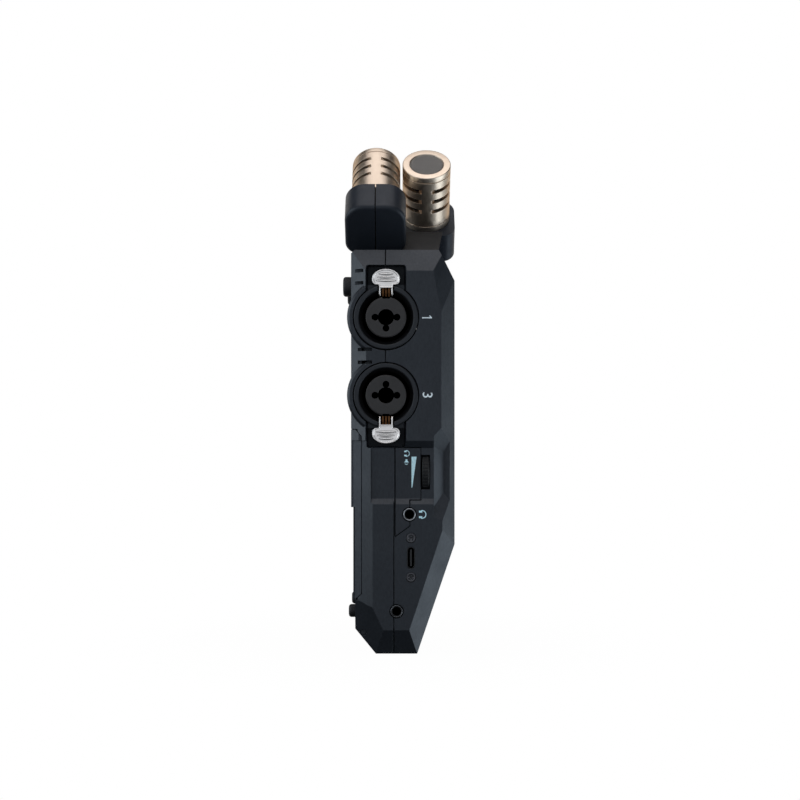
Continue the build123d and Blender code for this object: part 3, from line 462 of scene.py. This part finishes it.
def skin(node_names, start, direction):
    """Point where a ray first meets any of these CAD nodes."""
    hits = []
    for name in node_names:
        found, point, normal, index = nodes[name].ray_cast(start, direction)
        if found:
            hits.append(point)
    return min(hits, key=lambda p: (p - start).length)


def side_skin(side, y, z):
    """Outermost X of the side wall at a height and depth."""
    walls = ("front_housing", "rear_housing", "volume_panel")
    return skin(walls, Vector((side * OUTSIDE, y, z)), Vector((-side, 0, 0))).x


# ---------------------------------------------------------------- printing on the sides
INK_LIFT = 0.00003


def side_print(name, outline, side, y, z, material=ink):
    """Flat printed shape on a side wall; u runs down the body and v runs to the front edge."""
    front = -1 if side < 0 else 1
    x = side_skin(side, y, z)
    place = placer(Vector((x, y, z)), -Z_AXIS, Y_AXIS * front, X_AXIS * side)
    return stacked(name, outline, [(1, -INK_LIFT), (1, INK_LIFT)], place, "body", material)


def numeral_one(side, y, z, height):
    """Printed 1 with a slanted flag, drawn here so that it stays thin; numeral draws the others."""
    stem, flag = 0.054, 0.22
    left_side = [(-0.03, 0.5), (-flag, 0.33), (-flag, 0.2), (-stem, 0.33), (-stem, -0.5)]
    outline = [(stem, -0.5), (stem, 0.5)] + left_side
    scaled = [((u + 0.05) * height, v * height) for u, v in outline]
    side_print("numeral_1", scaled, side, y, z, numeral_ink)


def numeral(digit, side, y, z, height):
    """Printed channel numeral, turned so that it reads down the body."""
    curve = bpy.data.curves.new(f"numeral_{digit}", "FONT")
    curve.body = digit
    curve.align_x = "CENTER"
    curve.align_y = "CENTER"
    curve.extrude = INK_LIFT
    curve.offset = 0.004
    text = bpy.data.objects.new("numeral_source", curve)
    bpy.context.scene.collection.objects.link(text)
    bpy.context.view_layer.update()
    scale = height / text.dimensions.y
    mesh = bpy.data.meshes.new_from_object(text.evaluated_get(bpy.context.evaluated_depsgraph_get()))
    bpy.data.objects.remove(text)
    front = Y_AXIS * (-1 if side < 0 else 1)
    x = side_skin(side, y, z)
    for vert in mesh.vertices:
        u, v, h = vert.co
        vert.co = Vector((x, y, z)) - Z_AXIS * u * scale + front * v * scale + X_AXIS * side * h
    obj = bpy.data.objects.new(f"numeral_{digit}", mesh)
    bpy.context.scene.collection.objects.link(obj)
    mesh.materials.clear()
    mesh.materials.append(numeral_ink)
    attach(obj, "body")
    return obj


jack_sides = {"1": -1, "3": -1, "2": 1, "4": 1}
# distance from a jack's axis to its numeral
numeral_reach = 16.6 * MM
numeral_height = 4.0 * MM
for digit, side in jack_sides.items():
    jack_centre = centre_of(f"jack_core_{digit}")
    numeral_y = jack_centre.y - numeral_reach
    if digit == "1":
        numeral_one(side, numeral_y, jack_centre.z, numeral_height)
    else:
        numeral(digit, side, numeral_y, jack_centre.z, numeral_height)

wheel_z = centre_of("volume_wheel").z
wedge = [(-6.3, 0.0), (-6.3, 2.05), (6.2, 0.3), (6.2, 0.0)]
wedge_y = -10.35 * MM
side_print("volume_wedge", [(u * MM, v * MM) for u, v in wedge], -1, wedge_y, wheel_z)


def ring_sector(inner, outer, start, end, count):
    """Outline of part of a ring, for arcs in the printed marks."""
    turns = [start + (end - start) * i / count for i in range(count + 1)]
    outside = [(outer * math.cos(t), outer * math.sin(t)) for t in turns]
    inside = [(inner * math.cos(t), inner * math.sin(t)) for t in reversed(turns)]
    return outside + inside


def headphones_mark(name, side, y, z, scale):
    """Printed headband with two ear pads."""
    unit = scale * MM
    arc = ring_sector(1.38 * unit, 1.75 * unit, math.radians(-15), math.radians(195), 20)
    side_print(f"{name}_band", arc, side, y, z)
    for index, u in enumerate((-1.1, 1.1)):
        pad = [(u - 0.4, -1.25), (u + 0.4, -1.25), (u + 0.4, 0.1), (u - 0.4, 0.1)]
        side_print(f"{name}_pad_{index}", [(a * unit, b * unit) for a, b in pad], side, y, z)


def speaker_mark(name, side, y, z, scale):
    """Printed loudspeaker: a small box with a horn, and one sound wave."""
    unit = scale * MM
    horn = [(-1.5, -0.5), (-0.8, -0.5), (0.2, -1.3), (0.2, 1.3), (-0.8, 0.5), (-1.5, 0.5)]
    side_print(f"{name}_horn", [(a * unit, b * unit) for a, b in horn], side, y, z)
    wave = ring_sector(1.05 * unit, 1.35 * unit, math.radians(-45), math.radians(45), 10)
    side_print(f"{name}_wave", wave, side, y, z)


# one mark stands in front of the phones jack, and two smaller ones above the middle of the wheel
phones = centre_of("phones_jack")
phones_mark_reach = 5.1 * MM
headphones_mark("phones_mark", -1, phones.y - phones_mark_reach, phones.z, 1.0)
volume_mark_y = -8.3 * MM
volume_mark_scale = 0.75
volume_phones_rise = 7.6 * MM
volume_speaker_rise = 4.1 * MM
headphones_mark("volume_phones", -1, volume_mark_y, wheel_z + volume_phones_rise, volume_mark_scale)
speaker_mark("volume_speaker", -1, volume_mark_y, wheel_z + volume_speaker_rise, volume_mark_scale)

# ---------------------------------------------------------------- small-jack rings and painted shadow sheets on the pocket floors
def face_of(node, side):
    """Centre of the outer end of a node that faces one side."""
    middle = centre_of(node)
    low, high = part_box(node)
    return Vector((low.x if side < 0 else high.x, middle.y, middle.z))


def side_place(face, side):
    """Function from (u to the back, v up, height out of one side) to the row frame."""
    return placer(face, Y_AXIS, Z_AXIS, X_AXIS * side)


def turned_ring(name, place, profile, body, material, count=48, up=1, gap=0):
    """Ring turned from (radius, height) points, placed by place.

    gap is an opening in degrees, at the top of the ring when up is 1 and at its bottom when up is -1.
    """
    points = count + 1 if gap else count
    start = math.radians(90 * up + gap / 2)
    sweep = math.radians(360 - gap)
    verts, faces = [], []
    for radius, lift in profile:
        for i in range(points):
            t = start + sweep * i / count
            verts.append(place(radius * MM * math.cos(t), radius * MM * math.sin(t), lift * MM))
    rows = len(profile)
    for row in range(rows):
        a, b = row * points, (row + 1) % rows * points
        for i in range(count):
            j = (i + 1) % points
            faces.append((a + i, a + j, b + j, b + i))
    if gap:
        faces.append([row * points for row in range(rows)])
        faces.append([row * points + count for row in reversed(range(rows))])
    return piece(name, verts, faces, body, material, True)


ring_profile = [(2.1, -0.5), (2.1, 0.08), (2.2, 0.18), (2.4, 0.18), (2.5, 0.08), (2.5, -0.5)]
for socket, side, metal in (
    ("phones", -1, ring_metal),
    ("line_out", -1, finishes["screw"]),
    ("external_input", 1, finishes["screw"]),
):
    ring_place = side_place(face_of(f"{socket}_jack", side), side)
    turned_ring(f"{socket}_ring", ring_place, ring_profile, "body", metal)
throat_profile = [(11.15, -1.0), (9.7, -4.0), (9.7, -5.5), (11.15, -5.5)]
# degrees of each throat ring that stay open, where the latch's prongs move
throat_gap = 42
for digit, side in jack_sides.items():
    throat = face_of(f"jack_core_{digit}", side)
    up = 1 if centre_of(f"push_latch_{digit}").z > throat.z else -1
    throat_place = side_place(throat, side)
    ring_name = f"throat_ring_{digit}"
    turned_ring(ring_name, throat_place, throat_profile, "body", throat_black, up=up, gap=throat_gap)
# rims of the two screw heads, in the lighter plating that paints their highlight
screw_profile = [(1.2, -0.3), (1.25, 0.02), (1.45, 0.1), (1.75, 0.1), (1.97, -0.05), (1.97, -0.3)]
screw_low, screw_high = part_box("usb_screws")
head_radius = 2 * MM
for end, z in (("lower", screw_low.z + head_radius), ("upper", screw_high.z - head_radius)):
    head = Vector((screw_low.x, centre_of("usb_screws").y, z))
    turned_ring(f"{end}_screw_rim", side_place(head, -1), screw_profile, "body", screw_rim)


# distances from a jack's axis to the middle of its latch, and to a bare spot of the pocket's floor
latch_reach = 15.8 * MM
floor_reach = 16.5 * MM
floor_aside = 7.2 * MM


def pocket_shadow_sheet(number):
    """Thin black sheet on the floor of one latch pocket, behind the latch: a painted shadow, not a part of
    the recorder.
    """
    jack_centre = centre_of(f"jack_core_{number}")
    side = jack_sides[number]
    up = 1 if centre_of(f"push_latch_{number}").z > jack_centre.z else -1
    start = Vector((side * OUTSIDE, floor_aside, jack_centre.z + up * floor_reach))
    floor_x = skin(("front_housing", "rear_housing"), start, Vector((-side, 0, 0))).x
    centre = Vector((floor_x, 0, jack_centre.z + up * (latch_reach - 0.2 * MM)))
    half_wide, near_end, far_end = 7.4 * MM, -2.2 * MM, 5.9 * MM
    outline = [(-half_wide, near_end), (half_wide, near_end), (half_wide, far_end), (-half_wide, far_end)]
    place = placer(centre, Y_AXIS, Z_AXIS * up, X_AXIS * side)
    levels = [(1, -0.2 * MM), (1, 0.12 * MM)]
    stacked(f"pocket_shadow_sheet_{number}", outline, levels, place, "body", pocket_shadow_finish)


# painted shadow on each latch pocket floor
for number in jack_sides:
    pocket_shadow_sheet(number)

# ---------------------------------------------------------------- push latches
def latch_outline():
    """Mushroom outline: elliptical top, rounded lower corners and a straight neck."""
    half_wide, crown, corner, corner_v = 5.7, 3.85, 1.9, -0.7
    top = [math.pi * i / 24 for i in range(25)]
    points = [(half_wide * math.cos(t), crown * math.sin(t)) for t in top]
    turns = [math.pi + math.pi / 2 * i / 6 for i in range(1, 7)]
    left = [(corner * (1 + math.cos(t)) - half_wide, corner_v + corner * math.sin(t)) for t in turns]
    neck = [(-2.9, -2.6), (-2.85, -3.9)]
    points += left + neck
    points += [(-u, v) for u, v in reversed(left + neck)]
    return [(u * MM, v * MM) for u, v in points]


def bent_bar(name, path, half_width, half_thick, side_dir, body, material):
    """Rectangular bar that follows a path of points; side_dir is across the bar."""
    verts, faces = [], []
    for i, point in enumerate(path):
        ahead = path[min(i + 1, len(path) - 1)] - path[max(i - 1, 0)]
        up = ahead.normalized().cross(side_dir)
        for a, b in ((-1, -1), (1, -1), (1, 1), (-1, 1)):
            verts.append(point + side_dir * a * half_width + up * b * half_thick)
    for i in range(len(path) - 1):
        for k in range(4):
            n = (k + 1) % 4
            faces.append((4 * i + k, 4 * i + n, 4 * i + 4 + n, 4 * i + 4 + k))
    faces.append((3, 2, 1, 0))
    last = 4 * (len(path) - 1)
    faces.append((last, last + 1, last + 2, last + 3))
    obj = piece(name, verts, faces, body, material)
    bevel = obj.modifiers.new("edges", "BEVEL")
    bevel.width = 0.12 * MM
    bevel.segments = 2
    return obj


def latch_plate(number, centre, up, out):
    """Pressed thumb plate with a raised rim, in place of the plain CAD latch."""
    cad = f"push_latch_{number}"
    levels = [
        (0.97, -1.3 * MM),
        (1.0, -1.1 * MM),
        (1.0, -0.3 * MM),
        (0.975, -0.05 * MM),
        (0.93, 0.0),
        (0.88, 0.0),
        (0.85, -0.3 * MM),
        (0.4, -0.28 * MM),
    ]
    place = placer(centre, Y_AXIS, up, out)
    name = f"latch_plate_{number}"
    plate = stacked(name, latch_outline(), levels, place, cad, finishes["latch"], True)
    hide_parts(cad)


def latch_ribs(number, centre, up, out):
    """Three grip ribs across the plate, shorter towards its rounded end, each on a slightly larger dark
    oval that paints the shadow round the rib.
    """
    cad = f"push_latch_{number}"
    half_width = 0.34 * MM
    rib_levels = [(1, -0.45 * MM), (1, -0.08 * MM), (0.6, 0.0)]
    rib_shadow_levels = [(1, -0.6 * MM), (1, -0.24 * MM)]
    for rib in range(3):
        half_length = (3.9 - 0.55 * rib) * MM
        oval = [(half_length * u, half_width * v) for u, v in circle_outline(1.0, 24)]
        # dark oval round the rib: painted shadow at its foot
        groove = [(u * 1.08, v * 1.75) for u, v in oval]
        place = placer(centre + up * (1.35 * rib - 0.9) * MM, Y_AXIS, up, out)
        stacked(f"latch_rib_shadow_{number}_{rib}", groove, rib_shadow_levels, place, cad, rib_shadow_metal)
        name = f"latch_rib_{number}_{rib}"
        stacked(name, oval, rib_levels, place, cad, finishes["latch"], True)


def latch_prongs(number, centre, up, out):
    """Two bent prongs that reach from the plate into the jack."""
    # distance from the middle of the plate towards the jack, and depth below the plate's face
    points = [(3.1, 0.45), (4.1, 0.35), (5.1, 0.4), (6.3, 0.55), (7.1, 0.95)]
    half_thick = 0.3 * MM
    for index, u in enumerate((-2.5, 2.5)):
        start = centre + Y_AXIS * u * MM
        path = [start - up * along * MM - out * deep * MM for along, deep in points]
        name = f"latch_prong_{number}_{index}"
        cad = f"push_latch_{number}"
        bent_bar(name, path, half_thick, half_thick, Y_AXIS, cad, finishes["latch"])


def latch_springs(number, centre, up, out):
    """Three wavy copper strips between the prongs; the middle one lies deeper."""
    first, step, wave = 2.1, 0.75, 0.2
    half_width, half_thick = 0.42 * MM, 0.14 * MM
    for index, u in enumerate((-1.25, 0, 1.25)):
        depth = 1.5 if index == 1 else 1.0
        start = centre - out * depth * MM + Y_AXIS * u * MM
        path = []
        for i in range(8):
            sway = out * wave * math.sin(i * 1.05) * MM
            path.append(start - up * (first + step * i) * MM - sway)
        name = f"latch_spring_{number}_{index}"
        bent_bar(name, path, half_width, half_thick, Y_AXIS, f"push_latch_{number}", copper)


for number, side in jack_sides.items():
    jack_centre = centre_of(f"jack_core_{number}")
    up = Z_AXIS if centre_of(f"push_latch_{number}").z > jack_centre.z else -Z_AXIS
    outer_face = face_of(f"push_latch_{number}", side)
    centre = Vector((outer_face.x, jack_centre.y, jack_centre.z)) + up * latch_reach
    for build in (latch_plate, latch_ribs, latch_prongs, latch_springs):
        build(number, centre, up, X_AXIS * side)

# ---------------------------------------------------------------- woven grilles
def square_wire(verts, faces, path, across, out, half_size):
    """Add a closed wire of square section along a path to lists of vertices and faces."""
    base = len(verts)
    for point in path:
        for corner in range(4):
            t = math.pi / 2 * corner + math.pi / 4
            verts.append(point + across * half_size * math.cos(t) + out * half_size * math.sin(t))
    for i in range(len(path) - 1):
        a, b = base + 4 * i, base + 4 * i + 4
        for k in range(4):
            n = (k + 1) % 4
            faces.append((a + k, a + n, b + n, b + k))
    if len(path) > 1:
        end = base + 4 * (len(path) - 1)
        faces.append((base + 3, base + 2, base + 1, base))
        faces.append((end, end + 1, end + 2, end + 3))


def grille_backing(side_name, centre, u_dir, v_dir, out, radius):
    """Dark, slightly domed disc behind the woven wires, in place of the plain CAD grille."""
    cad = f"{side_name}_mic_grille"
    place = placer(centre - out * 0.3 * MM, u_dir, v_dir, out)
    levels = [(1, -0.25 * MM), (1, 0), (0.7, 0.05 * MM), (0.2, 0.08 * MM)]
    name = f"{side_name}_grille_foam"
    outline = circle_outline(radius)
    backing = stacked(name, outline, levels, place, "mic_module", finishes["capsule"], True)
    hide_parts(cad)


def woven_grille(side_name):
    """Mesh disc woven from thin wires that pass over and under each other."""
    cad = f"{side_name}_mic_grille"
    centre = centre_of(cad)
    tube = centre_of(f"{side_name}_mic_tube")
    out = (centre - tube).normalized()
    u_dir = Y_AXIS
    v_dir = out.cross(u_dir).normalized()
    radius = (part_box(cad)[1].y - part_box(cad)[0].y) / 2
    pitch, wire, wave, sunk = 0.46 * MM, 0.11 * MM, 0.10 * MM, 0.02 * MM
    count = int(radius / pitch)
    verts, faces = [], []
    for along, across in ((u_dir, v_dir), (v_dir, u_dir)):
        turn = 1 if along is u_dir else -1
        for line in range(-count, count + 1):
            offset = line * pitch
            half = math.sqrt(max(radius**2 - offset**2, 0))
            steps = int(half / pitch)
            path = []
            for k in range(-2 * steps, 2 * steps + 1):
                phase = math.pi * (k / 2 + line)
                lift = wave * turn * math.cos(phase) - sunk
                path.append(centre + along * k * pitch / 2 + across * offset + out * lift)
            square_wire(verts, faces, path, across, out, wire)
    mesh = bpy.data.meshes.new(f"{side_name}_woven_grille")
    mesh.from_pydata([tuple(v) for v in verts], [], faces)
    for polygon in mesh.polygons:
        polygon.use_smooth = True
    mesh.materials.append(finishes["mesh"])
    obj = bpy.data.objects.new(f"{side_name}_woven_grille", mesh)
    bpy.context.scene.collection.objects.link(obj)
    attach(obj, "mic_module")
    grille_backing(side_name, centre, u_dir, v_dir, out, radius)


def cap_ring(side_name):
    """Turned ring round the grille: groove over the tube, rounded shoulder, flat face, inner bevel."""
    cad = f"{side_name}_mic_cap"
    tube_low, tube_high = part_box(f"{side_name}_mic_tube")
    radius = (tube_high.y - tube_low.y) / 2 / MM
    opening = 7.1
    foot, groove_top, face, shoulder = -2.55, -2.15, 0.41, 0.45
    profile = [(opening, foot), (opening, face - 0.35), (opening + 0.35, face)]
    for step in range(6):
        t = math.pi / 2 * (1 - step / 5)
        profile.append((radius - shoulder * (1 - math.cos(t)), face - shoulder * (1 - math.sin(t))))
    profile += [(radius, groove_top), (radius - 0.35, groove_top), (radius - 0.35, foot)]
    tilt = 1 if side_name == "left" else -1
    out = Vector((tilt, 0, 1)).normalized()
    place = placer(centre_of(f"{side_name}_mic_grille"), Y_AXIS, out.cross(Y_AXIS), out)
    ring = turned_ring(f"{side_name}_cap_ring", place, profile, "mic_module", finishes["gold"], 128)
    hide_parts(cad)


for side_name in ("left", "right"):
    woven_grille(side_name)
    cap_ring(side_name)

# ---------------------------------------------------------------- thread in the tripod insert
def thread_ridge(name, node, bore_radius, crest_radius, pitch, length):
    """Helical ridge of a threaded bore that opens towards the back."""
    low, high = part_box(node)
    axis = centre_of(node)
    steps = 32
    turns = int(length / pitch)
    half_foot = pitch * 0.42
    verts, faces = [], []
    for i in range(turns * steps + 1):
        t = 2 * math.pi * i / steps
        y = high.y - 0.6 * MM - half_foot - pitch * i / steps
        for radius, shift in ((bore_radius, -half_foot), (crest_radius, 0), (bore_radius, half_foot)):
            verts.append((axis.x + radius * math.cos(t), y + shift, axis.z + radius * math.sin(t)))
    for i in range(turns * steps):
        for k in range(3):
            n = (k + 1) % 3
            faces.append((3 * i + k, 3 * i + n, 3 * i + 3 + n, 3 * i + 3 + k))
    last = 3 * turns * steps
    faces += [(2, 1, 0), (last, last + 1, last + 2)]
    piece(name, verts, faces, "body", finishes["brass"], True)


thread_ridge(
    "tripod_thread_ridge",
    "tripod_insert",
    bore_radius=3.17 * MM,
    crest_radius=2.75 * MM,
    pitch=1.27 * MM,
    length=5.5 * MM,
)

# ---------------------------------------------------------------- marks on the keys
play_centre = centre_of("play_button")
home_centre = centre_of("home_button")
slope_up = (play_centre - home_centre).normalized()
slope_out = slope_up.cross(X_AXIS)
if slope_out.y > 0:
    slope_out = -slope_out


def key_mark(name, key, outline, material=white_ink):
    """Printed mark on the face of a key; u runs right and v up the slope."""
    start = centre_of(key) + slope_out * 20 * MM
    hit = skin([key], start, -slope_out)
    place = placer(hit, X_AXIS, slope_up, slope_out)
    scaled = [(u * MM, v * MM) for u, v in outline]
    stacked(name, scaled, [(1, -INK_LIFT), (1, INK_LIFT)], place, key, material)


def arrow(shift, direction):
    return [(shift - 0.8 * direction, -1.2), (shift + 1.0 * direction, 0), (shift - 0.8 * direction, 1.2)]


key_mark("play_mark", "play_button", arrow(0.1, 1))
for index, shift in enumerate((-0.95, 0.95)):
    key_mark(f"forward_mark_{index}", "forward_button", arrow(shift, 1))
    key_mark(f"rewind_mark_{index}", "rewind_button", arrow(shift, -1))
key_mark("stop_mark", "stop_button", [(-1.1, -1.1), (1.1, -1.1), (1.1, 1.1), (-1.1, 1.1)])
key_mark("record_mark", "record_button", circle_outline(1.9, 32))
key_mark("flag_mark", "mark_button", [(-0.9, -1.3), (0.9, -1.3), (0.9, 1.3), (0, 0.5), (-0.9, 1.3)])
key_mark("home_mark", "home_button", [(-1, -1.1), (1, -1.1), (1, 0.3), (0, 1.3), (-1, 0.3)])

# ---------------------------------------------------------------- floor, light and camera
height = cad_high.z - cad_low.z
middle = (cad_low + cad_high) / 2


def floor_finish(near_keep, shade):
    """Pale floor: white to the camera, with a faint contact shadow close to the object.

    Other rays pass through it, so that the low softbox reaches the object.
    """
    material = bpy.data.materials.new("pale_floor")
    material.use_nodes = True
    tree = material.node_tree
    tree.nodes.clear()
    output = tree.nodes.new("ShaderNodeOutputMaterial")
    ray = tree.nodes.new("ShaderNodeLightPath")
    glow = tree.nodes.new("ShaderNodeEmission")
    glow.inputs["Color"].default_value = (1, 1, 1, 1)
    diffuse = tree.nodes.new("ShaderNodeBsdfDiffuse")
    diffuse.inputs["Color"].default_value = (shade, shade, shade, 1)
    clear = tree.nodes.new("ShaderNodeBsdfTransparent")
    coords = tree.nodes.new("ShaderNodeTexCoord")
    distance = tree.nodes.new("ShaderNodeVectorMath")
    distance.operation = "LENGTH"
    keep = tree.nodes.new("ShaderNodeMapRange")
    keep.inputs["From Min"].default_value = 0.15 * height
    keep.inputs["From Max"].default_value = 0.6 * height
    keep.inputs["To Min"].default_value = near_keep
    keep.inputs["To Max"].default_value = 1.0
    white = tree.nodes.new("ShaderNodeMixShader")
    seen = tree.nodes.new("ShaderNodeMixShader")
    tree.links.new(coords.outputs["Object"], distance.inputs[0])
    tree.links.new(distance.outputs["Value"], keep.inputs["Value"])
    tree.links.new(keep.outputs["Result"], white.inputs["Fac"])
    tree.links.new(diffuse.outputs[0], white.inputs[1])
    tree.links.new(glow.outputs[0], white.inputs[2])
    tree.links.new(ray.outputs["Is Camera Ray"], seen.inputs["Fac"])
    tree.links.new(clear.outputs[0], seen.inputs[1])
    tree.links.new(white.outputs[0], seen.inputs[2])
    tree.links.new(seen.outputs[0], output.inputs["Surface"])
    return material


floor_mesh = bpy.data.meshes.new("floor")
reach = height * 40
floor_mesh.from_pydata(
    [(-reach, -reach, 0), (reach, -reach, 0), (reach, reach, 0), (-reach, reach, 0)], [], [(0, 1, 2, 3)]
)
floor = bpy.data.objects.new("floor", floor_mesh)
floor.location.z = cad_low.z - 0.001 * height
bpy.context.scene.collection.objects.link(floor)
floor_mesh.materials.append(floor_finish(0.985, 0.8))


def studio_world():
    """Surroundings that are white to the camera and dim to the object."""
    world = bpy.data.worlds.new("studio")
    world.use_nodes = True
    tree = world.node_tree
    tree.nodes.clear()
    output = tree.nodes.new("ShaderNodeOutputWorld")
    ray = tree.nodes.new("ShaderNodeLightPath")
    white = tree.nodes.new("ShaderNodeBackground")
    white.inputs["Color"].default_value = (1, 1, 1, 1)
    dim = tree.nodes.new("ShaderNodeBackground")
    dim.inputs["Color"].default_value = (0.9, 0.95, 1.0, 1)
    dim.inputs["Strength"].default_value = 0.05
    mix = tree.nodes.new("ShaderNodeMixShader")
    tree.links.new(ray.outputs["Is Camera Ray"], mix.inputs["Fac"])
    tree.links.new(dim.outputs[0], mix.inputs[1])
    tree.links.new(white.outputs[0], mix.inputs[2])
    tree.links.new(mix.outputs[0], output.inputs["Surface"])
    return world


bpy.context.scene.world = studio_world()


def softbox(name, direction, distance, size, brightness, colour):
    """Area light aimed at the middle of the object; size is its width and height.

    The brightness is that of its face.
    """
    light = bpy.data.lights.new(name, "AREA")
    light.shape = "RECTANGLE"
    light.size = size[0] * height
    light.size_y = size[1] * height
    light.energy = brightness * math.pi * light.size * light.size_y
    light.color = colour
    obj = bpy.data.objects.new(name, light)
    place = Vector(direction).normalized()
    obj.location = middle + place * distance * height
    obj.rotation_mode = "QUATERNION"
    obj.rotation_quaternion = place.to_track_quat("Z", "Y")
    bpy.context.scene.collection.objects.link(obj)
    return obj


softbox("right_low_box", (-0.15, -0.9, -0.36), 3.0, (3.2, 3.0), 1.85, (0.82, 0.92, 1.0))
softbox("left_box", (-0.25, 0.95, 0.2), 3.0, (3.6, 2.5), 1.9, (0.86, 0.94, 1.0))
softbox("top_box", (-0.22, 0.0, 0.97), 3.0, (3.1, 3.1), 1.45, (1.0, 0.97, 0.98))
softbox("front_fill", (-1.0, 0.0, 0.24), 4.5, (6.0, 5.4), 0.57, (0.86, 0.92, 1.0))
softbox("backdrop", (1.0, 0.0, -0.05), 4.0, (9.0, 8.0), 0.75, (1.0, 0.95, 0.9))

camera_data = bpy.data.cameras.new("camera")
camera = bpy.data.objects.new("camera", camera_data)
bpy.context.scene.collection.objects.link(camera)
camera_distance = 650 * MM
# width that the picture covers at the middle of the object
frame_width = 344 * MM
# the camera stands a little behind and below the middle of the object's box
camera_back = 0.3 * MM
camera_drop = 2.1 * MM
camera_data.sensor_width = 36
camera_data.lens = camera_data.sensor_width * camera_distance / frame_width
camera.location = (-camera_distance, middle.y + camera_back, middle.z - camera_drop)
camera.rotation_mode = "QUATERNION"
camera.rotation_quaternion = (-X_AXIS).to_track_quat("Z", "Y")
camera_data.clip_end = 100
bpy.context.scene.camera = camera
bpy.context.scene.view_settings.view_transform = "Standard"
